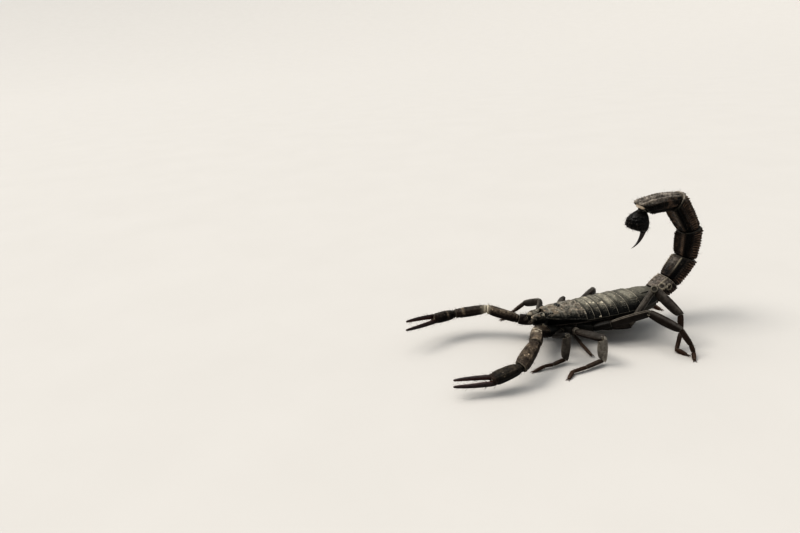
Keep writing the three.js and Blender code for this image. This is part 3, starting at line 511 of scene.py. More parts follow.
def limb(start, end, half_width, half_height, start_normal=None, end_normal=None, dorsal=UP,
         necks=(0.72, 0.8), shoulder=0.14, square=2.3, rows=60, sides=60,
         insets=(JOINT_GAP / 2, JOINT_GAP / 2), shear_power=2, bow=0.0):
    """A limb segment or tail ring: its grid of points, and the shares along and round it."""
    start, end = np.asarray(start, float), np.asarray(end, float)
    along = unit(end - start)
    across, up = axes(along, dorsal)
    share, turn = lattice(rows_along(rows), sides)
    full = girth(share, necks, shoulder)
    x, z = section(turn, swell(half_width, share) * full, swell(half_height, share) * full, square)

    def to_plane(normal, inset):
        """How far each point of an end moves to lie in the joint's plane."""
        if normal is None:
            return inset
        return (inset - x * (normal @ across) - z * (normal @ up)) / (normal @ along)

    y = share * np.linalg.norm(end - start) + to_plane(start_normal, insets[0]) * (1 - share) ** shear_power
    y = y + to_plane(end_normal, -insets[1]) * share ** shear_power
    z = z + bow * np.sin(np.pi * share)
    grid = start + x[..., None] * across + y[..., None] * along + z[..., None] * up
    return grid, share + 0 * turn, turn + 0 * share


def fold(turn):
    """The angle from the upper side, the same to the left and to the right."""
    angle = 360 * turn
    return np.minimum(angle, 360 - angle)


def ridge(turn, angles, width, radius):
    """Height from 0 to 1 of ridges that run along a limb at these angles from its upper side."""
    return np.max([hump(np.radians(fold(turn) - angle) * radius, width) for angle in angles], axis=0)


def at_ends(share, reach):
    """1 along a limb and 0 at its two ends."""
    return ease(share, 0, reach) * ease(1 - share, 0, reach)


# ------------------------------------------------------------------ materials


class Nodes:
    """Short calls for building a material's node tree."""

    def __init__(self, name):
        self.material = bpy.data.materials.new(name)
        self.material.use_nodes = True
        self.tree = self.material.node_tree
        self.shader = self.tree.nodes["Principled BSDF"]
        self.place = self.add("TexCoord", {}).outputs["Object"]
        marks = self.add("Attribute", {}, attribute_name="marks")
        split = self.add("SeparateColor", {"Color": marks.outputs["Color"]})
        self.raised, self.pale, self.warm = split.outputs
        self.dust_and_sheen = marks.outputs["Alpha"]

    def put(self, node, inputs):
        """Sets a node's inputs to numbers, colours or other nodes' outputs."""
        for key, value in inputs.items():
            if hasattr(value, "node"):
                self.tree.links.new(value, node.inputs[key])
            elif value is not None:
                node.inputs[key].default_value = (*value, 1) if isinstance(value, tuple) else value
        return node

    def add(self, kind, inputs, **settings):
        node = self.tree.nodes.new("ShaderNode" + kind)
        for key, value in settings.items():
            setattr(node, key, value)
        return self.put(node, inputs)

    def noise(self, size, detail=3.0, roughness=0.6):
        """Noise whose lumps are about size millimetres across."""
        inputs = {"Scale": 1 / (size * MM), "Detail": detail, "Roughness": roughness, "Vector": self.place}
        return self.add("TexNoise", inputs).outputs["Fac"]

    def cells(self, size):
        return self.add("TexVoronoi", {"Scale": 1 / (size * MM), "Vector": self.place}).outputs["Distance"]

    def span(self, value, low, high, start=0.0, end=1.0):
        inputs = {"Value": value, "From Min": low, "From Max": high, "To Min": start, "To Max": end}
        return self.add("MapRange", inputs).outputs["Result"]

    def sum(self, operation, first, second):
        return self.add("Math", {0: first, 1: second}, operation=operation).outputs[0]

    def times(self, first, second):
        return self.sum("MULTIPLY", first, second)

    def blend(self, share, first, second):
        """A colour between two, each a colour or another blend's output."""
        return self.add("Mix", {0: share, 6: first, 7: second}, data_type="RGBA").outputs[2]

    def bump(self, height, depth, strength, under=None):
        """Fine relief, depth in millimetres, over another bump or none."""
        inputs = {"Distance": depth * MM, "Strength": strength, "Height": height, "Normal": under}
        return self.add("Bump", inputs).outputs["Normal"]

    def finish(self, inputs):
        self.put(self.shader, inputs)
        return self.material


SAND = (0.55, 0.45, 0.33)
SKIN = (0.46, 0.41, 0.32)


def shell_material(name, base, light, wear_and_highlight, warm, film, roughness, gloss=0.11, sand=0.0, even=0.0):
    """Horny shell: dark and mottled, lighter where raised as wear and painted highlight, dusty and lighter on
    top as dust and painted sheen, warm brown where marked.
    """
    nodes = Nodes(name)
    broad = nodes.noise(2.4, detail=5.0)
    spots = nodes.noise(0.9, detail=4.0, roughness=0.65)
    fine = nodes.noise(0.35, detail=4.0, roughness=0.7)
    tone = nodes.blend(nodes.span(broad, 0.42, 0.7), base, light)
    # Raised ridges and granule tops take a lighter tone: wear and painted highlight.
    tone = nodes.blend(nodes.times(nodes.raised, nodes.span(spots, 0.38, 0.6, 0.2, 1.0)), tone, wear_and_highlight)
    uneven = nodes.times(nodes.span(nodes.noise(1.9), 0.36, 0.6, 0.4 + even, 1.0),
                         nodes.span(spots, 0.38, 0.6, 0.35 + even, 1.0))
    # The dust film on upward faces is also painted sheen.
    settled_dust_and_sheen = nodes.times(nodes.dust_and_sheen, uneven)
    tone = nodes.blend(settled_dust_and_sheen, tone, film)
    tone = nodes.blend(nodes.times(nodes.warm, nodes.span(fine, 0.25, 0.75, 0.3, 1.0)), tone, warm)
    specks = nodes.span(nodes.cells(1.2), 0.15, 0.28, 1.0, 0.0)
    patches = nodes.span(nodes.noise(2.2, detail=2.0), 0.54, 0.6)
    grains = nodes.times(nodes.times(specks, patches), nodes.dust_and_sheen)
    tone = nodes.blend(nodes.times(grains, sand), tone, SAND)
    tone = nodes.blend(nodes.pale, tone, SKIN)
    rough = nodes.sum("ADD", nodes.span(fine, 0.2, 0.8, roughness - 0.08, roughness + 0.1),
                      nodes.times(settled_dust_and_sheen, 0.25))
    rough = nodes.sum("SUBTRACT", rough, nodes.times(nodes.raised, 0.12))
    pits = nodes.bump(nodes.cells(0.16), 0.025, 0.6)
    return nodes.finish({"Base Color": tone, "Roughness": rough, "Specular IOR Level": gloss,
                         "Normal": nodes.bump(fine, 0.06, 0.8, pits)})


def plain_material(name, colour, variation, roughness, size=0.6, depth=0.02, coat=0.0, gloss=0.5):
    """Smooth horn, skin or hair: one colour with a softer second one in mottling."""
    nodes = Nodes(name)
    patches = nodes.noise(size, detail=4.0)
    return nodes.finish({
        "Base Color": nodes.blend(nodes.span(patches, 0.3, 0.7), colour, variation), "Roughness": roughness,
        "Specular IOR Level": gloss, "Coat Weight": coat, "Normal": nodes.bump(patches, depth, 0.5),
    })


BACK = {"base": (0.003, 0.003, 0.0028), "light": (0.011, 0.0105, 0.009), "wear_and_highlight": (0.09, 0.085, 0.07),
        "warm": (0.27, 0.20, 0.14), "roughness": 0.42, "sand": 0.9}
BODY_SHELL = shell_material("body_shell", film=(0.33, 0.30, 0.245), **BACK)
PLATE_SHELL = shell_material("plate_shell", film=(0.27, 0.25, 0.20), even=0.28, **BACK)
TAIL_SHELL = shell_material("tail_shell", base=(0.001, 0.0008, 0.0007), light=(0.004, 0.003, 0.0025),
                            wear_and_highlight=(0.11, 0.08, 0.06), warm=(0.20, 0.132, 0.09), film=(0.44, 0.385, 0.325),
                            roughness=0.26, gloss=0.12)
LEG_SHELL = shell_material("leg_shell", base=(0.003, 0.0024, 0.002), light=(0.009, 0.007, 0.0055),
                           wear_and_highlight=(0.07, 0.055, 0.045), warm=(0.06, 0.026, 0.012), film=(0.27, 0.25, 0.215),
                           roughness=0.4, sand=0.15, even=0.25)
ARM_SHELL = shell_material("arm_shell", base=(0.002, 0.0017, 0.0014), light=(0.007, 0.0055, 0.0045),
                           wear_and_highlight=(0.10, 0.085, 0.068), warm=(0.05, 0.02, 0.012), film=(0.29, 0.23, 0.165),
                           roughness=0.32, sand=1.6)
FINGER_SHELL = shell_material("finger_shell", base=(0.005, 0.0025, 0.002), light=(0.013, 0.006, 0.0045),
                              wear_and_highlight=(0.08, 0.03, 0.022), warm=(0.06, 0.021, 0.016), film=(0.06, 0.04, 0.034),
                              roughness=0.28, gloss=0.3)
STING = plain_material("sting_horn", (0.022, 0.009, 0.006), (0.008, 0.004, 0.003), 0.28, size=1.0)
EYE = plain_material("eye_lens", (0.002, 0.002, 0.002), (0.003, 0.003, 0.003), 0.16, coat=0.3, gloss=0.3)
COMB = plain_material("comb_horn", (0.30, 0.23, 0.15), (0.20, 0.14, 0.09), 0.5, size=0.5)
# Dark skin; on the flank under the carapace this darkness is painted shade.
MEMBRANE = plain_material("joint_skin", (0.04, 0.03, 0.023), (0.018, 0.014, 0.011), 0.5, size=0.4, depth=0.06)
PALE_SKIN = plain_material("pale_skin", (0.72, 0.62, 0.50), (0.50, 0.40, 0.30), 0.4, size=0.5, depth=0.06)
BRISTLE = plain_material("bristle", (0.014, 0.009, 0.007), (0.035, 0.022, 0.014), 0.45, size=1.5, depth=0.0)

# ------------------------------------------------------------------ carapace and eyes


def carapace_half(y):
    share = (y - CARAPACE.front) / (CARAPACE.rear - CARAPACE.front)
    out = np.clip(share / CARAPACE.corner, 0, 1)
    corner = mix(CARAPACE.corner_half, 1, np.sqrt(1 - (1 - out) ** 2))
    return mix(CARAPACE.front_half, CARAPACE.rear_half, power(share, CARAPACE.spread)) * corner


def carapace_top(sideways, y):
    """Height of the carapace, sideways as a share of the half-width."""
    share = (y - CARAPACE.front) / (CARAPACE.rear - CARAPACE.front)
    margin = mix(*CARAPACE.margins, share)
    dome = power(1 - np.abs(sideways) ** CARAPACE.square, CARAPACE.lift)
    crown = margin + (swell(CARAPACE.tops, share) - margin) * dome
    mound = EYES.rise * hump(np.hypot(sideways * EYES.narrow, y - EYES.y), EYES.mound)
    fade = FURROW.faded * ease(y, *FURROW.fade) * (y > EYES.y)
    furrow = ease(np.abs(y - EYES.y), FURROW.clear, FURROW.clear + FURROW.ease) - fade
    return crown + mound - FURROW.depth * furrow * hump(sideways, FURROW.half)


def lateral_eyes():
    """The middle and the side of each of the small eyes at the carapace's front corners."""
    for _, side in SIDES:
        for i in range(LATERAL_EYES.count):
            x, y = LATERAL_EYES.x + i * LATERAL_EYES.step, LATERAL_EYES.y + i * LATERAL_EYES.spacing
            yield np.array([side * x, y, carapace_top(x / carapace_half(y), y)]), side


# Relief of the carapace: rings round the middle eyes, hollows beside the middle, wrinkles on the sides,
# and the height, place and width of the groove at the rear and of the raised front and side edges.
BROW = Sizes(radius=0.95, width=0.2, reach=0.9, edge=0.5, height=0.12)
HOLLOW = Sizes(out=0.55, width=0.1, reach=(8.5, 11.5), depth=0.26)
WRINKLES = Sizes(along=4.4, out=1.3, wander=1.5, height=0.05, sides=(0.45, 0.8), reach=(3, 6))
REAR_GROOVE, FRONT_EDGE, SIDE_EDGE = (-0.15, 0.9, 0.16), (0.06, 0.35, 0.3), (0.12, -0.035, 0.022)


def carapace():
    share, turn = lattice(np.linspace(0, 1, 150), 260)
    reach, side = halves(turn)
    y = mix(CARAPACE.front, CARAPACE.rear + BODY.tile, share)
    half = carapace_half(y)
    sideways = side * np.sin(np.pi / 2 * np.minimum(reach / CARAPACE.top_share, 1))
    under = np.clip((1 - reach) / (1 - CARAPACE.top_share), 0, 1)
    below = reach > CARAPACE.top_share
    x = np.where(below, side * half * CARAPACE.tuck * under, half * sideways)
    z = np.where(below, CARAPACE.underside, carapace_top(sideways, y))
    dip = CARAPACE.front_dip * (1 - share) ** 3 * (1 - (x / half) ** 2)
    grid = np.stack([x, y + dip, z], -1)
    top = ease(CARAPACE.top_share - reach, 0, 0.08)
    out = np.abs(x) / half
    from_front, from_rear = y - CARAPACE.front + 0 * x, CARAPACE.rear - y + 0 * x
    eye = np.hypot(np.abs(x) - EYES.x, y - EYES.y)
    brow = hump(eye - BROW.radius, BROW.width) * ease(EYES.x + BROW.reach - np.abs(x), 0, BROW.edge)
    hollow = hump(out - HOLLOW.out, HOLLOW.width) * ease(from_front, *HOLLOW.reach)
    wander = WRINKLES.wander * mottle(grid, 2.5, 14)
    wrinkles = np.sin(from_front * WRINKLES.along + np.abs(x) * WRINKLES.out + wander)
    wrinkles *= WRINKLES.height * ease(out, *WRINKLES.sides) * ease(from_front, *WRINKLES.reach)
    relief = granules(grid, "carapace") * (0.35 + 0.9 * blots(grid, 3.0, 13, -0.4, 0.5))
    relief += 0.2 * mottle(grid, 1.7, 16) + wrinkles - HOLLOW.depth * hollow
    height = top * (ease(eye, 0.7, 1.5) * relief + BROW.height * brow + hoop(from_rear, *REAR_GROOVE))
    height += hoop(reach - CARAPACE.top_share, *SIDE_EDGE) * (0.5 + 0.5 * beads(from_front, 0.5, 5))
    height += top * hoop(from_front, *FRONT_EDGE)
    grid = raise_by(grid, height)
    pale = 0.5 * top * hump(from_rear - 0.05, 0.13) * blots(grid, 1.1, 18, -0.6, 0.4)
    clean = ease(np.hypot(x, y - EYES.y), 0.9, 1.7)
    # Raised granules take the lighter tone of wear and painted highlight; the brow rings round the middle
    # eyes add a painted glint.
    raised = 0.6 * top * np.clip(height / 0.16, 0, 1) * clean + brow
    brown = (0.25 + 0.6 * ease(6.5 - from_front, 0, 6)) * blots(grid, 1.2, 17, -0.3, 0.4)
    # Dust and painted sheen only on what faces up, so the steep sides stay dark as painted shade.
    dust_and_sheen = facing_up(grid, 0.4, 0.97) * (0.6 + 0.4 * blots(grid, 3.2, 15, -0.4, 0.6))
    marks = marks_of(grid, raised, pale, brown * top * clean * facing_up(grid, 0.5, 1.0), dust_and_sheen * top * clean)
    body = Patchwork().shell(grid, marks, (0.2, 0.3), 0.0)
    for socket, _ in lateral_eyes():
        body.rings(*ball(socket, LATERAL_EYES.radius * LATERAL_EYES.socket, ridge=0.6))
    stand_in("carapace", body, BODY_SHELL)


def eyes():
    surface = carapace_top(EYES.x / carapace_half(EYES.y), EYES.y)
    for name, side in SIDES:
        centre = np.array([side * EYES.x, EYES.y, surface - EYES.sunk])
        stand_in(f"eye_{name}", Patchwork().rings(*ball(centre, EYES.radius, 26, 40)), EYE)
    small = Patchwork()
    for socket, side in lateral_eyes():
        out = LATERAL_EYES.out * np.array([side, 0, 1])
        small.rings(*ball(socket + out, LATERAL_EYES.radius))
    make("lateral_eyes", small, EYE)


# ------------------------------------------------------------------ body rings


def body_half(y):
    end = CARAPACE.rear + sum(RING_LENGTHS)
    before = np.sin(np.pi / 2 * (y - CARAPACE.rear) / (BODY.full_at - CARAPACE.rear))
    taper = np.clip((y - BODY.taper_from) / (end - BODY.taper_from), 0, 1) ** BODY.taper
    return np.where(y < BODY.full_at, mix(BODY.front_half, BODY.full_half, before),
                    mix(BODY.full_half, BODY.tail_half, taper))


# Relief of a plate: a row of bumps along its rear edge, a step across its front, a beaded keel in the
# middle and, on the last ring, two more on each side. Keels have a height, width and length of bead.
PLATE_RIM = Sizes(place=0.12, width=0.14, bump=0.42, height=0.10)
PLATE_STEP = Sizes(place=0.28, width=0.12)
MIDDLE_KEEL = Sizes(height=0.22, width=0.3, bead=0.55)
LAST_KEELS = Sizes(height=0.34, width=0.3, bead=0.7, outs=(0.42, 0.78))
PLEURA = Sizes(end=0.74, depth=0.10, fold=0.05, folding=9)  # the folded skin below the plates' edges
PLATE_EDGE = (0.12, -0.02, 0.014)


def body_ring(index, front, rear):
    last = index == len(RING_LENGTHS) - 1
    length = rear - front
    share, turn = lattice(rows_along(int(12 + 10 * length)), 240)
    place = share + 0 * turn
    y = mix(front - BODY.tucked, rear + (-JOINT_GAP if last else BODY.tile), place)
    along = (y - CARAPACE.rear) / sum(RING_LENGTHS)
    half = body_half(y) - BODY.lip * (1 - share)
    margin = mix(BODY.margin, BODY.rear_margin, along)
    crown = mix(BODY.front_top, BODY.rear_top, along) - BODY.lip * (1 - share)
    crown = crown - BODY.rear_dip * ease(along, 0.85, 1)
    reach, side = halves(turn + 0 * y)
    over = np.clip(reach / BODY.top_share, 0, 1)
    sideways = np.sin(np.pi / 2 * over)
    under = np.pi / 2 * np.clip((reach - BODY.top_share) / (1 - BODY.top_share), 0, 1)
    free_belly = mix(BODY.free_belly, BODY.rear_belly, along ** 4)
    belly = CARAPACE.underside if index < RINGS_OVER_HIPS else free_belly
    below = reach > BODY.top_share
    x = np.where(below, half * BODY.tuck * power(np.cos(under), BODY.side_round), half * sideways)
    z = np.where(below, mix(margin - BODY.side_drop, belly, power(np.sin(under), BODY.belly_round)),
                 margin + (crown - margin) * power(1 - sideways ** BODY.square, BODY.lift))
    grid = np.stack([side * x, y, z], -1)
    top = ease(BODY.top_share - reach, 0, 0.05)
    from_rear = (1 - place) * length
    band = ease(place, 0.3, 0.55)
    rim = hump(from_rear - PLATE_RIM.place, PLATE_RIM.width)
    rim = rim * (0.5 + 0.5 * np.abs(np.sin(np.pi * x / PLATE_RIM.bump)))
    keel = MIDDLE_KEEL.height * hump(x, MIDDLE_KEEL.width) * ease(place, 0.35, 0.8)
    keel *= 0.5 + 0.5 * beads(y, MIDDLE_KEEL.bead, 6)
    if last:
        row = LAST_KEELS.height * ease(place, 0.25, 0.4) * (0.4 + 0.6 * beads(y, LAST_KEELS.bead, 7))
        keel *= ease(0.6 - place, 0, 0.2)
        keel += row * sum(hump(x - out * half, LAST_KEELS.width) for out in LAST_KEELS.outs)
    step = hump((place - PLATE_STEP.place) * length, PLATE_STEP.width)
    height = top * (granules(grid, "body ring") * (0.25 + band) + PLATE_RIM.height * (rim - step) + keel)
    side_edge = hoop(reach - BODY.top_share, *PLATE_EDGE)
    pleura = ease(reach, BODY.top_share - 0.005, BODY.top_share + 0.02) * ease(PLEURA.end - reach, 0, 0.05)
    folds = PLEURA.depth + PLEURA.fold * np.sin(y * PLEURA.folding + 2 * mottle(grid, 1.0, 23))
    height += side_edge - pleura * folds
    height += 0.02 * pebbles(grid, 0.45, 24) * (1 - top) * (1 - pleura)
    if index in SPIRACLE.rings:
        slit = np.hypot((x - SPIRACLE.across * half) / SPIRACLE.half_length,
                        (place - 0.5) * length / SPIRACLE.half_width)
        height -= SPIRACLE.depth * ease(1.2 - slit, 0, 0.8) * ease(reach, 0.78, 0.82)
    grid = raise_by(grid, height)
    # The pale rear edge lines are real, but widen towards the top as a painted highlight.
    line = hump(from_rear + 0.02, 0.14 + 0.1 * ease(0.65 - sideways, 0, 0.3)) * top * (not last)
    # The pale flecks near the rear edges on top of the first plates are painted glints.
    flecks = blots(grid, 1.0, 27, 0.2, 0.4) * hump(from_rear, 1.1) * hump(sideways - 0.4, 0.25) * top
    corner = np.hypot((over - 0.85) / 0.05, (from_rear - 0.3) / 0.6)
    flecks = flecks * (index < 4) + ease(1.1 - corner + 0.7 * mottle(grid, 0.45, 28), 0, 0.5) * (index == 1)
    pale = 0.75 * line * blots(grid, 1.2, 25, -0.9, 0.3) + 0.9 * flecks + 0.1 * pleura + 1.25 * side_edge
    # Dust on the plates' tops is also painted sheen.
    dust_and_sheen = top * facing_up(grid, 0.72, 1.0) * (0.45 + 0.5 * blots(grid, 3.0, 26, -0.6, 0.6))
    marks = marks_of(grid, 0.5 * top * np.clip(height / 0.16, 0, 1), pale, 0.12 * ease(reach, 0.76, 0.84),
                     dust_and_sheen * (0.6 + 0.4 * band))
    body = Patchwork().shell(grid, marks, (0.3, 0.7), 0.0)
    stand_in(f"mesosoma_{index + 1}", body, PLATE_SHELL)


def body_rings():
    front = CARAPACE.rear
    for index, length in enumerate(RING_LENGTHS):
        body_ring(index, front, front + length)
        front += length


# ------------------------------------------------------------------ tail and sting

# How strongly each ring shows its marks: flared rim, brown strip, comb, warm streaks on the back as painted
# highlights, and patch, bright keels as polish and painted highlight, pale upper keel as a painted highlight,
# dust with painted sheen on what faces up and on the back, pale granule tops as painted highlights, and how
# much the dust thins out towards the root and grows towards the tip.
TAIL_MARKS = ("flare", "strip", "comb", "streaks", "patch", "polish", "keel", "film", "back", "grit",
              "root", "tip")
TAIL_LOOKS = [Sizes(**dict(zip(TAIL_MARKS, row))) for row in (
    (0.25, 0.0, 0.2, 0.2, 0.3, 1.0, 0.6, 0.5, 0.35, 0.9, 0.2, 0.0),
    (0.45, 0.1, 0.9, 0.3, 0.2, 0.6, 0.75, 0.1, 0.42, 0.35, 0.9, 0.0),
    (0.5, 1.0, 0.9, 0.1, 0.1, 0.3, 0.0, 0.1, 0.0, 0.4, 0.0, 0.0),
    (0.2, 0.7, 0.9, 0.6, 0.3, 0.5, 0.1, 0.15, 0.05, 0.8, 0.0, 0.7),
    (0.35, 0.0, 0.0, 0.1, 0.6, 0.3, 0.0, 0.9, 0.0, 0.6, 0.0, 0.0),
)]


def tail_direction(pitch):
    angle = np.radians(pitch)
    return np.stack([0 * angle, np.cos(angle), np.sin(angle)], -1)


def tail_back(along):
    """The back of the tail faces the inside of its arch."""
    return np.cross(LEFTWARD, along)


# The tail's joints with a point before them, in the body, and one after them, in the sting's bulb.
TAIL_PATH = np.array([
    TAIL_JOINTS[0] - (0, 3, 0), *TAIL_JOINTS, TAIL_JOINTS[-1] + tail_direction(TELSON.seat),
])


def tail_ring(index):
    before, start, end, after = TAIL_PATH[index:index + 4]
    looks = TAIL_LOOKS[index]
    width, height, taper, necks, bow = TAIL_RINGS[index]
    first, last = index == 0, index == len(TAIL_RINGS) - 1
    normal = np.array([0.0, 1.0, 0.0]) if first else joint_normal(before, start, end)
    length = np.linalg.norm(end - start)
    grid, share, turn = limb(
        start, end, *(np.array([RING_START, 1, taper]) * size for size in (width, height)), normal,
        joint_normal(start, end, after), tail_back(unit(end - start)), necks, shoulder=0.17, square=2.6,
        rows=int(30 + 9 * length), sides=208, bow=bow,
    )
    angle, ends = fold(turn), at_ends(share, 0.1)
    from_start, from_end = share * length, (1 - share) * length
    # Where the last ring bends, less counts as facing up, so its painted sheen stays a narrow band at the
    # top.
    near_bend = 0.3 * ease(0.7 - share, 0, 0.5) * last
    upward = facing_up(grid, 0.2 + near_bend, 0.55 + near_bend)
    relief, crests = np.zeros(share.shape), np.zeros(share.shape)
    for number, keel_angle in enumerate(KEEL_ANGLES):
        crest = np.exp(-np.abs(np.radians(angle - keel_angle) * height / KEEL.width) ** 1.6)
        row = beads(from_start + 0.13 * number, KEEL.bead, 40 + 7 * index + number)
        relief = np.maximum(relief, KEEL.height * crest * (0.3 + 0.7 * row) * (0.7 + 0.5 * share))
        crests = np.maximum(crests, crest * (0.35 + 0.65 * row))
    groove = hump(angle, KEEL.groove_width) * ends
    between = (1 - crests) * ends
    grains = pebbles(grid, 1.05, 31)
    relief = relief * ends - KEEL.groove * groove * (0.5 if last else 1) - 0.16 * between
    relief += (0.26 * grains + 0.06 * pebbles(grid, 0.4, 32)) * between * (1 - 0.7 * groove)
    if index < STRIDULATING:
        relief += 0.05 * groove * np.sin(2 * np.pi * from_start / 0.3)
    collar = hump(from_end - 0.45, 0.3) + hump(from_start - 0.5, math.sqrt(0.12))
    relief += 0.14 * collar * (0.6 + 0.4 * np.abs(np.sin(np.radians(angle) * 9)))
    saw = np.abs(np.sin(np.pi * from_start + 1.2 * mottle(grid, 1.6, 33)))
    combed = ease(angle, RASP.start, RASP.start + RASP.edge) * ease(RASP.end - angle, 0, RASP.edge) * ends
    relief += RASP.height * combed * (saw - 0.5)
    relief += looks.flare * hump(from_end - 0.55, 0.6) * ease(angle, 118, RASP.end)
    circles = np.zeros(share.shape)
    for place, around, radius in ROSETTES if first else ():
        middle = grid[np.abs(share[:, 0] - place).argmin(), round(around / 360 * turn.shape[1])]
        circles = np.maximum(circles, hump(np.linalg.norm(grid - middle, axis=-1) - radius, 0.34))
    grid = raise_by(grid, relief + 0.15 * circles)
    back = ease(30 - angle, 0, 8) * ends
    blotches = blots(grid, 1.5, 36, -0.3, 0.5)
    strip = np.exp(-((angle - 18) / 14) ** 4) * (0.12 + 0.88 * ease(saw, 0.35, 0.9))
    strip = strip * np.where(turn < 0.5, 1.0, 0.2) * (0.7 + 0.3 * blotches) * ends
    lines = 0.12 + 0.9 * ease(saw, 0.72, 0.98) * blots(grid, 1.3, 34, -0.8, 0.2)
    patch = ease(angle, 50, 70) * ease(130 - angle, 0, 10) * ease(0.6 - share, 0, 0.3)
    warm = 1.2 * looks.strip * strip + looks.comb * combed * lines
    warm = warm + (looks.streaks * back + looks.patch * patch) * blotches
    raised = np.maximum(crests * ends * looks.polish, looks.grit * ease(grains, 0.5, 0.9) * between)
    # The pale upper keel is a painted highlight.
    pale = looks.keel * hump(angle - 31, 4) * ease(share, 0.1, 0.7) * ends
    pale = pale + (0.55 if first else 0.12) * hump(from_end, 0.35) * (0.7 + 0.3 * mottle(grid, 1.0, 37))
    pale = pale + 0.5 * circles * (0.8 + 0.5 * mottle(grid, 0.8, 38))
    film = looks.film + looks.tip * ease(share, 0.75, 1)
    dust_and_sheen = (film * upward + looks.back * back) * (0.6 + 0.4 * blots(grid, 2.4, 35, -0.5, 0.5))
    dust_and_sheen = dust_and_sheen * mix(1 - looks.root, 1, ease(share, 0.2, 0.85))
    name = f"metasoma_{index + 1}"
    ring = Patchwork().shell(grid, marks_of(grid, raised, pale, warm, dust_and_sheen), (0.5, 0.9), 0.15)
    stand_in(name, ring, TAIL_SHELL)
    return name, grid


def telson():
    normal = joint_normal(*TAIL_PATH[-3:])
    total = TELSON.neck + TELSON.bulb + TELSON.sting
    neck_share, bulb_share = TELSON.neck / total, (TELSON.neck + TELSON.bulb) / total
    paces = np.arange(1, 241) / 240
    pitch = TELSON.pitch - TELSON.bend * paces ** TELSON.curl
    path = np.cumsum([TAIL_JOINTS[-1], *tail_direction(pitch) * total / len(paces)], axis=0)
    share, turn = lattice(np.linspace(0, 1, 190), 150)
    centre = follow(path, share[:, 0])
    along = unit(np.gradient(centre, axis=0))
    up = tail_back(along)
    bulb = np.clip((share - neck_share) / (bulb_share - neck_share), 0, 1)
    past = np.clip((share - bulb_share) / (1 - bulb_share), 0, 1)
    swollen = np.sin(np.pi * power(bulb, TELSON.lead))
    wide, deep = power(swollen, TELSON.full_width), power(swollen, TELSON.full_depth)
    base = np.where(bulb < 1, mix(TELSON.neck_half, TELSON.sting_half, bulb),
                    mix(TELSON.sting_half, TELSON.tip_half, past))
    half_width, half_depth = mix(base, TELSON.half_width, wide), mix(base, TELSON.half_depth, deep)
    x, z = section(turn, half_width, half_depth, TELSON.square)
    unswollen = section(turn, base, base, TELSON.square)[1]
    lean = (JOINT_GAP - unswollen * (up @ normal)[:, None]) / (along @ normal)[:, None]
    shear = lean * power(1 - share / TELSON.seat_share, 2)
    inward = unit(np.cross(normal, -LEFTWARD))
    centre = centre + inward * TELSON.shift * power(1 - share / TELSON.shift_share, 2)
    grid = sweep(centre, LEFTWARD, up, x, z - TELSON.sag * deep) + shear[..., None] * along[:, None]
    angle = fold(turn + 0 * share)
    lumpy = ease(wide, 0.3, 0.8) * ease(angle, 20, 60)
    relief = lumpy * (granules(grid, "bulb") - 0.15 * hump(angle - 180, 6))
    relief += 0.03 * pebbles(grid, 0.3, 53) * (1 - ease(past, 0, 0.1))
    grid = raise_by(grid, relief)
    horny = ease(past, 0.02, 0.3)
    # The bumps' lighter worn tone is partly a painted highlight.
    marks = marks_of(grid, 0.35 * ease(relief, 0.12, 0.45), 0.7 * ease(0.05 - share, 0, 0.05), 0.1 * horny,
                     0.06 * (1 - horny) * facing_up(grid, 0.2, 1.0))
    split = int(np.argmax(share[:, 0] > bulb_share + 0.02))
    bulb_shell = Patchwork().shell(grid[:split + 1], marks[:split + 1], (0.4, 0.0), 0.6)
    stand_in("telson", bulb_shell, TAIL_SHELL)
    make("sting", Patchwork().rings(grid[split - 1:], marks[split - 1:]), STING)
    return "telson", grid[:split]


# ------------------------------------------------------------------ jaws


def chelicera(name, side):
    width, height = CHELICERA.half_width, CHELICERA.half_height
    start = np.array([side * CHELICERA.x, CARAPACE.front + CHELICERA.sunk, CHELICERA.z])
    end = np.array([start[0], CARAPACE.front - CHELICERA.length, CHELICERA.z - CHELICERA.droop])
    grid, share, _ = limb(
        start, end, (width, width, width * CHELICERA.taper), (height, height, height * CHELICERA.taper),
        necks=(0.92, 0.5), shoulder=0.35, insets=(0, 0),
    )
    relief = (0.10 * pebbles(grid, 0.6, 61) + 0.14 * mottle(grid, 1.3, 63)) * at_ends(share, 0.1)
    grid = raise_by(grid, relief)
    blotches = 0.4 * blots(grid, 1.4, 62, -0.3, 0.5)
    pale = 0.34 * blots(grid, 0.7, 64, 0.1, 0.5) * facing_up(grid, -0.2, 0.7)
    dust_and_sheen = 0.9 * facing_up(grid, 0.2, 0.9) * blots(grid, 1.1, 65, -0.6, 0.3)
    marks = marks_of(grid, blotches, pale, blotches * facing_up(grid, 0, 0.8), dust_and_sheen)
    body = Patchwork().shell(grid, marks, (0.2, 0.2))
    for turn_to in (LEFT, RIGHT):
        root = end + mirrored(JAW_CLAW.root, turn_to)
        bow, tip = root + mirrored(JAW_CLAW.bow, turn_to), root + mirrored(JAW_CLAW.tip, turn_to)
        claw = horn(root, bow, tip, JAW_CLAW.half_width, JAW_CLAW.half_height, JAW_CLAW.sharp,
                    rows=26, sides=20)
        body.rings(claw, marks_of(claw, 0.1, 0, 0.18))
        for i in range(JAW_CLAW.teeth):
            place = bezier(root, bow, tip, 0.35 + 0.2 * i)
            tooth_tip = place + (-turn_to * (JAW_CLAW.tooth - 0.08 * i), -0.15, -0.1)
            tooth = thorn(place, tooth_tip, JAW_CLAW.tooth_half, JAW_CLAW.tooth_half, 0.04, rows=6, sides=8)
            body.rings(tooth, marks_of(tooth, 0, 0, 0.25))
    node = f"chelicera_{name}"
    stand_in(node, body, BODY_SHELL)
    return node, grid


# ------------------------------------------------------------------ pincer arms

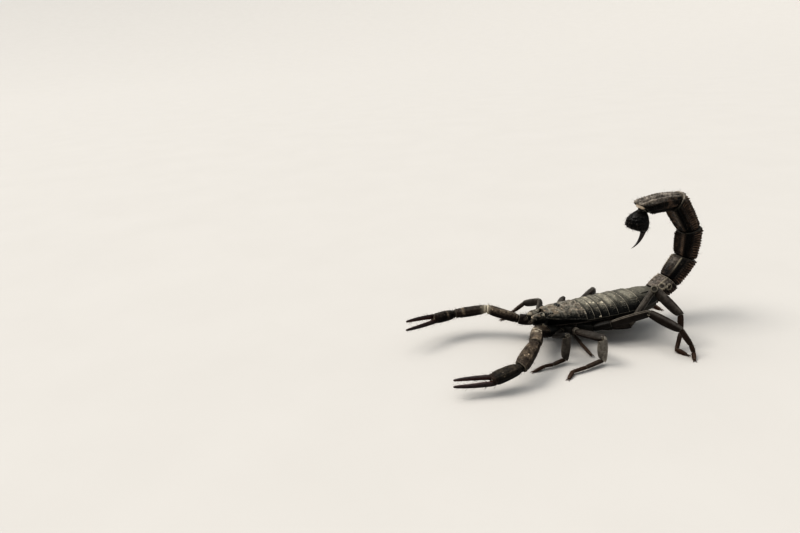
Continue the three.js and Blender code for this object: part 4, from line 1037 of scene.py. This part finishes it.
# Angle of the keels of each segment from its upper side, and their height.
ARM_KEELS = {"trochanter": ((35, 100), 0.16), "femur": ((42, 138), 0.22), "patella": ((38, 100), 0.12),
             "hand": ((30, 75), 0.05)}
# Height, place from the segment's end or start, and width of the raised and sunken rings round it.
END_COLLAR, END_GROOVE = (0.10, 0.4, math.sqrt(0.06)), (-0.16, 1.25, 0.3)
START_COLLAR, START_GROOVE = (0.10, 0.45, 0.3), (-0.12, 1.1, 0.35)
# How pale the start of a segment is and how far along, the same for its end, the place and strength of a band
# of painted highlight across it, and its dust, which is also painted sheen where it faces up.
PLAIN_END = (0.2, 0.22)
HAND_END = (0.03, 0.22)
ARM_LOOKS = {
    ("left", "trochanter"): ((0, 1), PLAIN_END, (0, 0), 0.3),
    ("left", "femur"): ((0.3, 0.5), PLAIN_END, (0, 0), 0.8),
    ("left", "patella"): ((0, 1), PLAIN_END, (0.3, 0.2), 0.55),
    ("left", "hand"): ((0, 1), HAND_END, (0, 0), 0.22),
    ("right", "trochanter"): ((0, 1), PLAIN_END, (0, 0), 0.06),
    ("right", "femur"): ((0, 1), (0.9, 1.0), (0, 0), 0.6),
    ("right", "patella"): ((1.0, 1.6), PLAIN_END, (0.75, 0.9), 0.15),
    ("right", "hand"): ((0.4, 0.5), HAND_END, (0.4, 0.7), 0.12),
}
FLECKED = ("left", "femur")            # the segment with bright flecks near its root


def arm_path(name, side):
    """The joints of an arm, with the point before the root from which it comes."""
    joints = PALPS[name].joints
    return np.array([joints[0] + mirrored(PALP_COXA.arrival, side), *joints])


def normals(path, number):
    """The planes of the joints at both ends of a segment, or None past a limb's end."""
    before, start, end, *after = path[number:number + 4]
    return {
        "start_normal": joint_normal(before, start, end),
        "end_normal": joint_normal(start, end, after[0]) if after else None,
    }


def arm_piece(name, side, number, kind):
    hand, short = kind == "hand", kind == "trochanter"
    path = arm_path(name, side)
    start, end = path[number + 1:number + 3]
    grid, share, turn = limb(
        start, end, *PALP_SIZES[kind], **normals(path, number), dorsal=(side * 0.3, 0, 1),
        necks=(0.68 if hand else 0.76, 0.82), shoulder=0.3 if hand else 0.2, rows=50 if short else 120,
        sides=110, shear_power=1 if short else 2,
    )
    length = np.linalg.norm(end - start)
    from_start, from_end = share * length, (1 - share) * length
    ends = at_ends(share, 0.12)
    angles, height = ARM_KEELS[kind]
    crest = ridge(turn, angles, 0.2, 1.9) * ends
    relief = height * crest * (0.35 + 0.65 * beads(from_start, 0.5, 71 + number))
    relief += ends * (granules(grid, "arm") + 0.05 * mottle(grid, 1.6, 75))
    relief += hoop(from_end, *END_COLLAR)
    if not short:
        relief += hoop(from_end, *END_GROOVE)
        relief += hoop(from_start, *START_COLLAR) + hoop(from_start, *START_GROOVE)
    grid = raise_by(grid, relief)
    (pale_start, start_reach), (pale_end, end_reach), (place, band), dust_and_sheen_level = ARM_LOOKS[name, kind]
    pale = pale_start * hump(from_start, start_reach) * (0.7 + 0.3 * mottle(grid, 0.8, 76))
    pale = pale + pale_end * hump(from_end, end_reach)
    if (name, kind) == FLECKED:
        flecks = blots(grid, 0.8, 77, 0.1, 0.5) * ease(share, 0, 0.15) * ease(0.75 - share, 0, 0.5)
        pale = pale + 0.7 * flecks * facing_up(grid, 0.1, 0.7)
    dust_and_sheen = dust_and_sheen_level * (0.4 + 0.6 * blots(grid, 2.6, 74, -0.5, 0.5)) * facing_up(grid, -0.1, 0.9)
    # The band across the segment is a painted highlight.
    dust_and_sheen = dust_and_sheen + band * hump(share - place, 0.05) * facing_up(grid, -0.6, 0.3)
    warm = 0.35 * ease(share, 0.75, 1) if hand else 0.15
    return grid, marks_of(grid, crest * (0.15 + 0.45 * dust_and_sheen_level), pale, warm, dust_and_sheen)


def finger(node, name, sign, tip, sink, replaces=()):
    """One finger of a pincer, with the small teeth along its inner edge."""
    gape = unit(PALPS[name].opening) * sign
    start = PALPS[name].joints[-1] + gape * FINGER.split
    start = start - unit(tip - start) * sink
    bow = (start + tip) / 2 + gape * FINGER.bow
    across = unit(np.cross(tip - start, gape * sign))
    grid = horn(start, bow, tip, FINGER.half_width, FINGER.half_height, FINGER.tip, FINGER.fullness,
                FINGER.rows, FINGER.sides, blunt=FINGER.blunt, slim=FINGER.slim)
    share = np.linspace(0, 1, FINGER.rows)[:, None]
    inner = -(outward(grid) @ gape)
    relief = 0.05 * ease(np.abs(outward(grid) @ across), 0.5, 0.8) * at_ends(share, 0.15)
    grid = raise_by(grid, relief + 0.012 * pebbles(grid, 0.3, 75))
    marks = marks_of(grid, 0.1, 0, 0.05 + 0.95 * ease(inner, 0.1, 0.7), 0.3 * facing_up(grid))
    body = Patchwork().rings(grid, marks)
    for i in range(FINGER.teeth):
        place = 0.16 + 0.78 * i / FINGER.teeth
        centre = bezier(start, bow, tip, place)
        thick = (1 - place ** FINGER.blunt) ** FINGER.fullness * (1 - FINGER.slim * place)
        depth = mix(FINGER.tip, FINGER.half_height, thick)
        size = 0.19 * (1.5 if i % 6 == 0 else 1.0) * (1 - 0.45 * place)
        root, top = centre - gape * (depth - 0.12), centre - gape * (depth + size)
        tooth = thorn(root, top, size * 0.8, size * 0.8, 0.03, rows=6, sides=8, dorsal=across)
        body.rings(tooth, marks_of(tooth, 0.2, 0, 0.2))
    make(node, body, FINGER_SHELL, replaces)
    return node, grid


def palp(name, side):
    surfaces = []
    for number, kind in enumerate(PALP_SIZES):
        node = f"palp_{name}_{kind}"
        grid, marks = arm_piece(name, side, number, kind)
        surfaces.append((node, grid))
        if kind == "hand":
            surfaces.append(finger(f"palp_{name}_fixed_finger", name, -1, PALPS[name].fixed_tip, 2.4))
        body = Patchwork().shell(grid, marks, (0.5, 0.2 if kind == "hand" else 0.8))
        stand_in(node, body, ARM_SHELL)
    node = f"palp_{name}_finger"
    return surfaces + [finger(node, name, 1, PALPS[name].moving_tip, 0.5, [node])]


# ------------------------------------------------------------------ legs

# Angle of the keels of each segment from its upper side, and their height.
LEG_KEELS = {"trochanter": ((30, 150), 0.06), "femur": ((16, 164), 0.11), "patella": ((16, 160), 0.11),
             "tibia": ((25, 155), 0.05), "basitarsus": ((30, 150), 0.03), "telotarsus": ((40, 140), 0.0)}
# How grey some segments' sides are, with dust and painted highlight, and how dusty the top of each leg is,
# with painted sheen.
DUST_AND_HIGHLIGHT_SEGMENTS = {
    ("left", 0, "patella"): 0.3, ("left", 1, "femur"): 0.0, ("left", 1, "patella"): 1.3,
    ("left", 1, "trochanter"): 0.4, ("left", 2, "trochanter"): 0.02, ("left", 3, "femur"): 0.33,
    ("left", 3, "patella"): 0.15,
}
TOP_DUST_AND_SHEEN = {"left": (0.14, 0.2, 0.14, 0.14), "right": (0.28, 0.28, 0.28, 0.28)}
# Segments under the body, kept almost free of dust, warmth and light keels as painted shade.
SHADED_SEGMENTS = (("left", 0, "trochanter"), ("left", 0, "femur"), ("left", 2, "trochanter"))
# The pale upper edge of the third left thigh is a painted highlight.
HIGHLIGHT_CRESTS = (("left", 2, "femur"),)
LEG_WARMTH = {"tibia": 0.45, "basitarsus": 0.6, "telotarsus": 0.75}
# Place from the knee, axis and radius of the round knobs.
KNEE_KNOBS = {("left", 3): ((1.75, -1.35, 0.75), (1.0, -0.75, 0.45), 1.4),
              ("left", 2): ((1.2, -1.1, 0.5), (0.9, -0.7, 0.4), 0.85)}
# A knob's profile from its back to its hollow face: radius and height as shares of its radius, and paleness.
KNOB_PROFILE = np.array([
    (0.7, -0.6, 0), (1.0, -0.4, 0.1), (1.0, 0.0, 0.25), (0.94, 0.16, 0.4), (0.8, 0.22, 0.4),
    (0.66, 0.14, 0.25), (0.56, 0.02, 0.05), (0.3, 0.0, 0.08), (0.1, 0.04, 0.1),
])


def leg_path(name, side, index):
    """The joints of a leg, with the inner end of its root before them."""
    return np.array([mirrored(COXA_ROOTS[index], side), *LEGS[name][index]])


def leg_piece(name, side, index, kind, swollen=0.0, **options):
    """A leg segment's grid and marks; swollen makes it thicker all round."""
    key, number, path = (name, index, kind), LEG_PIECES.index(kind), leg_path(name, side, index)
    start, end = path[number + 1:number + 3]
    sizes = ([v * LEG_GIRTH[index] + swollen for v in values] for values in LEG_SIZES[kind])
    shape = {"sides": 64, "dorsal": LEG_DORSAL[name][index][int(number > 1)], **normals(path, number)}
    grid, share, turn = limb(start, end, *sizes, **{**shape, **options})
    length = np.linalg.norm(end - start)
    ends = at_ends(share, 0.12)
    angles, height = LEG_KEELS[kind]
    crest = ridge(turn, angles, 0.14, 1.2) * ends
    relief = height * crest * (0.5 + 0.5 * beads(share * length, 0.42, 81 + number))
    grid = above_floor(raise_by(grid, relief + ends * granules(grid, "leg")))
    pale = 0.2 * hump((1 - share) * length, 0.16)
    if kind == "patella" and index > 1:
        pale = pale + 0.3 * hump(share * length - 0.35, 0.25)
    if key in HIGHLIGHT_CRESTS:
        pale = pale + 0.24 * crest * facing_up(grid, 0.2, 0.8)
    # Segments in the shade under the body are kept dark as painted shade.
    painted_shade, grey_dust_and_highlight = key in SHADED_SEGMENTS, DUST_AND_HIGHLIGHT_SEGMENTS.get(key, 0.05)
    on_top = 0.02 if painted_shade else 0.06 if kind == "trochanter" else TOP_DUST_AND_SHEEN[name][index]
    dust_and_sheen = grey_dust_and_highlight + max(1 - grey_dust_and_highlight, 0) * on_top * facing_up(grid, 0.1, 0.9)
    dust_and_sheen = dust_and_sheen * (0.5 + 0.5 * blots(grid, 2.0, 84, -0.7, 0.4))
    warm = LEG_WARMTH.get(kind, 0.0 if painted_shade else 0.12)
    return grid, marks_of(grid, crest * (0.15 if painted_shade else 0.5), pale, warm, dust_and_sheen)


def knee_knob(place, axis, radius):
    """The round knob of a knee's hinge, with a raised pale rim and a dark hollow."""
    axis = unit(axis)
    across, above = axes(axis, UP)
    turn = 2 * np.pi * np.arange(40)[None, :, None] / 40
    out, height, pale = KNOB_PROFILE.T[:, :, None]
    spokes = across * np.cos(turn) + above * np.sin(turn)
    grid = place + radius * (out[..., None] * spokes + height[..., None] * axis)
    return grid, marks_of(grid, 0, pale * (0.7 + 0.5 * mottle(grid, 0.9, 87)), 0, 0.1)


def leg(name, side, index):
    label = f"leg_{name}_{index + 1}"
    joints = LEGS[name][index]
    thigh, shin, foot = Patchwork(), Patchwork(), Patchwork()
    surfaces = []

    def segment(body, kind, depths, inner_pale=0.5, **options):
        grid, marks = leg_piece(name, side, index, kind, **options)
        body.shell(grid, marks, depths, inner_pale)
        surfaces.append((f"{label}_{kind}", grid))

    segment(thigh, "trochanter", (0.4, 0.3), rows=50, shear_power=1, necks=(0.85, 0.85))
    segment(thigh, "femur", (0.3, 0.1), 0.1, rows=110, insets=(JOINT_GAP / 2, -KNEE.reach), end_normal=None,
            necks=KNEE.necks)
    if (name, index) in KNEE_KNOBS:
        place, axis, radius = KNEE_KNOBS[name, index]
        thigh.rings(*knee_knob(joints[2] + place, axis, radius))
    stand_in(f"{label}_femur", thigh, LEG_SHELL)
    segment(shin, "patella", (0.1, 0.5), rows=110, start_normal=None, insets=(-PATELLA_REACH, JOINT_GAP / 2),
            necks=(0.4, 0.8), shoulder=0.17)
    socket = leg_piece(name, side, index, "femur", KNEE.swollen, rows=40, sides=40, end_normal=None,
                       insets=(0, -KNEE.reach - KNEE.play), necks=KNEE.necks)
    carve(stand_in(f"{label}_patella", shin, LEG_SHELL), Patchwork().rings(*socket))
    segment(foot, "tibia", (0.2, 0.2), sides=44, necks=(0.8, 0.86))
    segment(foot, "basitarsus", (0.2, 0.2), sides=44, shear_power=1, necks=(0.8, 0.86))
    segment(foot, "telotarsus", (0.2, 0.2), sides=44, shear_power=1, necks=(0.9, 0.85), square=3.4)
    heel, ankle, toe = joints[4:]

    def spur(joint, ahead, out, sizes):
        """A stiff thorn at the end of a leg segment."""
        place = joint + sizes.root @ np.array([ahead, out, UP])
        tip = place + unit(sizes.direction @ np.array([ahead, out, UP])) * sizes.length
        grid = thorn(place, tip, sizes.thick, sizes.thick, 0.04, rows=10, sides=10)
        foot.rings(above_floor(grid), marks_of(grid, 0, 0, 0.9))

    tarsus = unit(ankle - heel)
    for turn_to in (LEFT, RIGHT):
        spur(ankle, tarsus, np.cross(tarsus, UP) * turn_to, ANKLE_SPUR)
        foot.rings(*claw(ankle, toe, turn_to))
    if index > 1:
        shaft = unit(heel - joints[3])
        spur(heel, shaft, np.cross(shaft, UP), HEEL_SPUR)
    stand_in(f"{label}_foot", foot, LEG_SHELL)
    return surfaces


def claw(ankle, toe, turn_to):
    ahead = unit((toe - ankle) * (1, 1, 0))
    angle = math.radians(turn_to * CLAW.spread)
    ahead = ahead * math.cos(angle) + np.cross(UP, ahead) * math.sin(angle)
    start = toe - ahead * CLAW.sunk + UP * CLAW.lift
    bow = toe + ahead * CLAW.length * CLAW.bow + UP * CLAW.arch
    end = toe + ahead * CLAW.length - UP * CLAW.droop
    grid = horn(start, bow, end, CLAW.root, CLAW.root, CLAW.tip, rows=18, sides=12)
    return grid, marks_of(grid, 0, 0, 1.0)


def carve(piece, tool_patchwork):
    """Cuts a tool's shape out of a piece, for good."""
    tool = make("carving_tool", tool_patchwork, LEG_SHELL)
    cut = piece.modifiers.new("socket", "BOOLEAN")
    cut.operation = "DIFFERENCE"
    cut.solver = "MANIFOLD"
    cut.object = tool
    depsgraph = bpy.context.evaluated_depsgraph_get()
    mesh = bpy.data.meshes.new_from_object(piece.evaluated_get(depsgraph))
    piece.modifiers.clear()
    piece.data = mesh
    bpy.data.objects.remove(tool)


# ------------------------------------------------------------------ leg roots and belly

COXA_KEELS = (40, 140)
BREAST = Sizes(start=(0, -22.5, 7.2), end=(0, 4.0, 7.2), sizes=((3.0, 5.6, 5.6), (1.5, 1.7, 1.5)))
# Start, end and half-width of the plates of the breast.
BREAST_PLATES = (
    ((0, -13.4, 5.6), (0, -8.2, 5.6), 1.25), ((-1.05, -8.1, 5.5), (-1.05, -5.4, 5.5), 1.0),
    ((1.05, -8.1, 5.5), (1.05, -5.4, 5.5), 1.0), ((0, -5.2, 5.5), (0, -2.2, 5.5), 1.9),
)


def coxosternum():
    body = Patchwork()
    root = {"insets": (0, JOINT_GAP / 2)}
    for name, side in SIDES:
        for i in range(len(LEGS[name])):
            path = leg_path(name, side, i)[:3]
            grid, share, turn = limb(*path[:2], *LEG_SIZES["coxa"], end_normal=joint_normal(*path),
                                     necks=(0.7, 0.86), **root)
            ends = at_ends(share, 0.15)
            crest = ridge(turn, COXA_KEELS, 0.2, 1.6) * ends
            grid = raise_by(grid, 0.07 * crest + ends * granules(grid, "coxa"))
            # The roots of the legs and arms get almost no dust and stay dark, as painted shade under the
            # body.
            body.shell(grid, marks_of(grid, crest * 0.2, 0, 0.02, 0.02), (0.1, 0.5))
        path = arm_path(name, side)[:3]
        grid, share, _ = limb(mirrored(PALP_COXA.inner, side), path[1], *PALP_COXA.sizes,
                              end_normal=joint_normal(*path), necks=PALP_COXA.necks, **root)
        grid = raise_by(grid, at_ends(share, 0.15) * granules(grid, "palp coxa"))
        body.shell(grid, marks_of(grid, dust_and_sheen=0.01), (0.1, 0.5))
    grid, share, _ = limb(BREAST.start, BREAST.end, *BREAST.sizes, necks=(0.8, 0.9), insets=(0, 0),
                          square=3.4, rows=120, sides=80)
    grid = raise_by(grid, at_ends(share, 0.1) * granules(grid, "breast"))
    body.shell(grid, marks_of(grid, 0, 0, 0.2, 0.2), (0.1, 0.1))
    for start, end, half_width in BREAST_PLATES:
        grid = limb(start, end, (half_width * 0.6, half_width, half_width), (0.3, 0.42, 0.35),
                    necks=(0.6, 0.8), insets=(0, 0), rows=40, sides=40)[0]
        body.rings(grid, marks_of(grid, 0.2, 0.1, 0.3))
    stand_in("coxosternum", body, BODY_SHELL)


FLANK = Sizes(front=1.2, rear=3.6, inset=0.25, half_height=0.9, sunk=0.15, fold=0.12, folding=5.0)


def flank_skin():
    """The soft skin between the leg roots and the carapace, kept dark as painted shade under the carapace's
    edge.
    """
    share, turn = lattice(np.linspace(0, 1, 60), 40)
    y = mix(CARAPACE.front + FLANK.front, FLANK.rear, share)
    half = np.where(y < CARAPACE.rear, carapace_half(y), body_half(y)) * CARAPACE.tuck - FLANK.inset
    x, z = section(turn, half, FLANK.half_height, 4.0)
    folds = FLANK.fold * np.sin(y * FLANK.folding)
    grid = np.stack([x * (1 + folds / half), y + 0 * x, CARAPACE.underside - FLANK.sunk + z + 0 * x], -1)
    make("flank_skin", Patchwork().rings(grid, marks_of(grid)), MEMBRANE)


def pectine(name, side):
    start, bow, end = (mirrored(point, side) for point in PECTINE.points)
    share, turn = lattice(np.linspace(0, 1, PECTINE.rows), 24)
    centre = bezier(start, bow, end, share[:, 0])
    along = unit(np.gradient(centre, axis=0))
    thick = mix(1, PECTINE.taper, share) * (1 - 0.1 * (np.sin(share * 18) > 0.9))
    x, z = section(turn, PECTINE.half_width * thick, PECTINE.half_height * thick, 3.0)
    grid = sweep(centre, unit(np.cross(along, UP)), UP, x, z)
    comb = Patchwork().rings(grid, marks_of(grid))
    for i in range(PECTINE.teeth):
        place = 0.14 + 0.84 * i / (PECTINE.teeth - 1)
        root = bezier(start, bow, end, place)
        spine = along[int(place * (PECTINE.rows - 1))]
        back = unit((-side * spine[1], side * spine[0], -0.12))
        tip = root + back * PECTINE.tooth * (1 - 0.35 * place)
        tooth = thorn(root, tip, PECTINE.tooth_half, 0.2, 0.09, 0.3, rows=12, sides=10)
        comb.rings(tooth, marks_of(tooth))
    stand_in(f"pectine_{name}", comb, COMB)


# ------------------------------------------------------------------ joint skin


def end_skin():
    """The pale skin that bulges from the last tail ring over the neck of the sting's bulb."""
    out = joint_normal(*TAIL_PATH[-3:])
    away = unit(np.cross(out, LEFTWARD))
    grid, marks = ball(np.zeros(3), 1.0, 40, 60)
    x, y, z = np.moveaxis(grid * (1 + 0.05 * mottle(grid, 0.35, 95))[..., None] * END_SKIN.halves, -1, 0)
    middle = TAIL_JOINTS[-1] + away * END_SKIN.off - out * END_SKIN.sunk
    grid = middle + x[..., None] * LEFTWARD + y[..., None] * away + z[..., None] * out
    make("tail_end_skin", Patchwork().rings(grid, marks), PALE_SKIN)


def sleeve(before, joint, after, half_width, half_height, reach):
    """A short tube of wavy skin that bends with a joint."""
    into, out = unit(joint - before) * reach, unit(after - joint) * reach
    share, turn = lattice(np.linspace(0, 1, 12), 28)
    centre = follow([joint - into, joint - into * 0.4, joint + out * 0.4, joint + out], share[:, 0])
    wavy = 1 + 0.05 * np.sin(share * 22)
    x, z = section(turn, half_width * wavy, half_height * wavy, 2.2)
    grid = sweep(centre, *axes(unit(np.gradient(centre, axis=0)), UP + 0.01), x, z)
    return above_floor(grid, 0.05)


def joint_skin():
    """Sleeves of skin inside every joint of the limbs and tail."""
    skin = Patchwork()

    def add(path, number, half_width, half_height, reach):
        grid = sleeve(*path[number:number + 3], half_width, half_height, reach)
        skin.rings(grid, marks_of(grid))

    for i in range(len(TAIL_JOINTS)):
        half_width, half_height, *_ = TAIL_RINGS[min(i, len(TAIL_RINGS) - 1)]
        thin = 0.6 if i < len(TAIL_RINGS) else 0.36
        add(TAIL_PATH, i, half_width * thin, half_height * thin, 1.3)
    for name, side in SIDES:
        for i, (widths, heights) in enumerate(PALP_SIZES.values()):
            add(arm_path(name, side), i, widths[0] * 0.6, heights[0] * 0.62, 0.9)
        for index, stout in enumerate(LEG_GIRTH):
            for i, kind in enumerate(LEG_PIECES):
                half_width, half_height = (0.62 * stout * values[0] for values in LEG_SIZES[kind])
                if kind != "patella":
                    add(leg_path(name, side, index), i, half_width, half_height, 0.6)
    make("joint_skin", skin, MEMBRANE)


# ------------------------------------------------------------------ bristles

ATLAS = 8                              # the bristles' map has this many shells along each side
PATCH = 0.003                          # size of one bristle on the map
HAIR_ROWS, HAIR_SIDES = 5, 3
HAIR_RINGS = HAIR_ROWS * HAIR_SIDES


class Coat:
    """Bristles that grow from shells: one mesh with a map of where each one's root is."""

    def __init__(self, name):
        self.name = name
        self.body = Patchwork()
        self.places = []

    def grow(self, grid, cell, count, length, thick, lean, zone):
        random = np.random.default_rng(100 + cell)
        rows, sides = grid.shape[:2]
        normals, along = outward(grid), unit(np.gradient(grid, axis=0))
        for _ in range(count):
            row = random.integers(int(rows * 0.06), int(rows * 0.94))
            side = random.integers(sides)
            if zone and random.random() > zone(row / rows, fold(side / sides)):
                continue
            root, normal = grid[row, side], normals[row, side]
            sway = random.normal(0, 0.16, 3)
            size = length * random.uniform(0.55, 1.2)
            stem = unit(normal + along[row, side] * lean + sway) * size
            tip = root + stem + along[row, side] * size * 0.25 - UP * size * 0.04
            hair = horn(root - normal * 0.1, root + stem * 0.6, tip, thick, thick, 0.006, 0.8, HAIR_ROWS,
                        HAIR_SIDES, dorsal=normal + 0.01)
            self.body.rings(above_floor(hair, 0.02), marks_of(hair))
            corner = np.array([cell % ATLAS, cell // ATLAS]) + 0.05
            self.places.append((corner + 0.9 * np.array([side / sides, row / rows])) / ATLAS)

    def make(self):
        mesh = make(self.name, self.body, BRISTLE).data
        layer = mesh.uv_layers.new(name="OFBake")
        vertex = np.zeros(len(mesh.loops), np.int32)
        mesh.loops.foreach_get("vertex_index", vertex)
        hair, inside = np.divmod(vertex, HAIR_RINGS + 2)
        angle = 2 * np.pi * (inside % HAIR_SIDES) / HAIR_SIDES
        out = np.where(inside < HAIR_RINGS, 0.5, 0.0) * (1 - inside / (2 * HAIR_RINGS))
        spread = out[:, None] * np.stack([np.cos(angle), np.sin(angle)], -1)
        spot = np.array(self.places)[hair] + PATCH * (spread + 0.5)
        layer.data.foreach_set("uv", spot.astype(np.float32).ravel())


# Bristles by what the surface's name holds: coat, count, length, girth, lean, and how thickly they stand
# at a share along it and an angle from its upper side.
BRISTLES = {
    "metasoma": ("tail", 110, 1.3, 0.03, 0.8, lambda share, angle: 0.35 + 0.65 * (angle > 60)),
    "telson": ("tail", 180, 1.2, 0.03, 0.7, lambda share, angle: 0.2 + 0.8 * (angle > 40)),
    "palp": ("arm", 70, 1.2, 0.03, 0.9, None),
    "chelicera": ("arm", 40, 0.8, 0.028, 1.2, lambda share, angle: float(share > 0.5)),
    "tibia": ("leg", 45, 0.8, 0.026, 1.3, None),
    "tarsus": ("leg", 45, 0.8, 0.026, 1.3, None),
    "leg": ("leg", 26, 0.9, 0.028, 1.1, None),
}


def all_bristles(surfaces):
    coats = {name: Coat(f"{name}_bristles") for name in ("tail", "leg", "arm")}
    for cell, (name, grid) in enumerate(surfaces):
        coat, *hairs = next(BRISTLES[part] for part in BRISTLES if part in name)
        coats[coat].grow(grid, cell, *hairs)
    for coat in coats.values():
        coat.make()


# ------------------------------------------------------------------ floor, light and camera

# Each sun's direction, angle, energy and colour.
SUNS = {
    "key": ((-0.15, -0.3, 1.0), 65, 1.7, (1.0, 0.97, 0.93)),
    "glint": ((-0.25, -0.7, 1.0), 24, 1.3, (1.0, 0.97, 0.93)),
}
STUDIO = Sizes(colour=(0.80, 0.86, 0.93, 1), strength=0.6)
STAGE = Sizes(rings=(0.02, 0.3, 1.0, 3.0), sweep=16.0, rise=40, sides=96)


def placed(name, data):
    """An object that is linked into the scene."""
    thing = bpy.data.objects.new(name, data)
    bpy.context.scene.collection.objects.link(thing)
    return thing


def stage():
    """A plain pale floor that slowly curves up all round."""
    sides = STAGE.sides
    bend = np.radians(np.linspace(0, STAGE.rise, 24))[1:]
    profile = [(radius, 0.0) for radius in STAGE.rings]
    profile += [(STAGE.rings[-1] + STAGE.sweep * math.sin(a), STAGE.sweep * (1 - math.cos(a))) for a in bend]
    turns = 2 * np.pi * np.arange(sides) / sides
    points = [(0, 0, 0)] + [(r * math.cos(t), r * math.sin(t), z) for r, z in profile for t in turns]
    faces = [(0, 1 + i, 1 + (i + 1) % sides) for i in range(sides)]
    for low in range(1, 1 + (len(profile) - 1) * sides, sides):
        high = low + sides
        faces += [(low + i, high + i, high + (i + 1) % sides, low + (i + 1) % sides) for i in range(sides)]
    mesh = bpy.data.meshes.new("floor")
    mesh.from_pydata(points, [], faces)
    mesh.polygons.foreach_set("use_smooth", [True] * len(faces))
    nodes = Nodes("floor_paper")
    tone = nodes.blend(nodes.span(nodes.noise(60), 0.3, 0.7), (0.455, 0.433, 0.402), (0.465, 0.443, 0.412))
    mesh.materials.append(nodes.finish({"Base Color": tone, "Roughness": 0.85, "Specular IOR Level": 0.2}))
    floor = placed("floor", mesh)


def lights():
    """A broad high sun, a narrower one that makes the glints, and the even light of a studio."""
    for name, (direction, angle, energy, colour) in SUNS.items():
        data = bpy.data.lights.new(name, "SUN")
        data.angle = math.radians(angle)
        data.energy = energy
        data.color = colour
        light = placed(name, data)
        light.rotation_euler = Vector(unit(direction)).to_track_quat("Z", "Y").to_euler()
    world = bpy.data.worlds.new("studio")
    world.use_nodes = True
    background = world.node_tree.nodes["Background"]
    background.inputs["Color"].default_value = STUDIO.colour
    background.inputs["Strength"].default_value = STUDIO.strength
    bpy.context.scene.world = world


def camera():
    heading, pitch, roll = (math.radians(angle) for angle in (CAMERA.heading, CAMERA.pitch, CAMERA.roll))
    flat = math.cos(pitch)
    ahead = np.array([math.cos(heading) * flat, math.sin(heading) * flat, math.sin(pitch)])
    level, above = axes(ahead, UP)
    right = level * math.cos(roll) + above * math.sin(roll)
    data = bpy.data.cameras.new("camera")
    data.sensor_width = CAMERA.sensor
    data.lens = CAMERA.lens
    data.clip_start, data.clip_end = CAMERA.clip
    matrix = np.eye(4)
    matrix[:3, :3] = np.stack([right, np.cross(right, ahead), -ahead], -1)
    matrix[:3, 3] = (np.array(CAMERA.place) + MIDDLE) * MM
    view = placed("camera", data)
    view.matrix_world = Matrix(matrix.tolist())
    bpy.context.scene.camera = view


# ------------------------------------------------------------------ the whole scene


def scorpion():
    carapace()
    eyes()
    body_rings()
    coxosternum()
    flank_skin()
    surfaces = [tail_ring(index) for index in range(len(TAIL_RINGS))] + [telson()]
    for name, side in SIDES:
        surfaces.append(chelicera(name, side))
        pectine(name, side)
        surfaces += palp(name, side)
        for index in range(len(LEG_GIRTH)):
            surfaces += leg(name, side, index)
    joint_skin()
    end_skin()
    all_bristles(surfaces)


camera()
stage()
lights()
scorpion()
bpy.context.scene.view_settings.view_transform = "Standard"
bpy.context.scene.view_settings.look = "High Contrast"
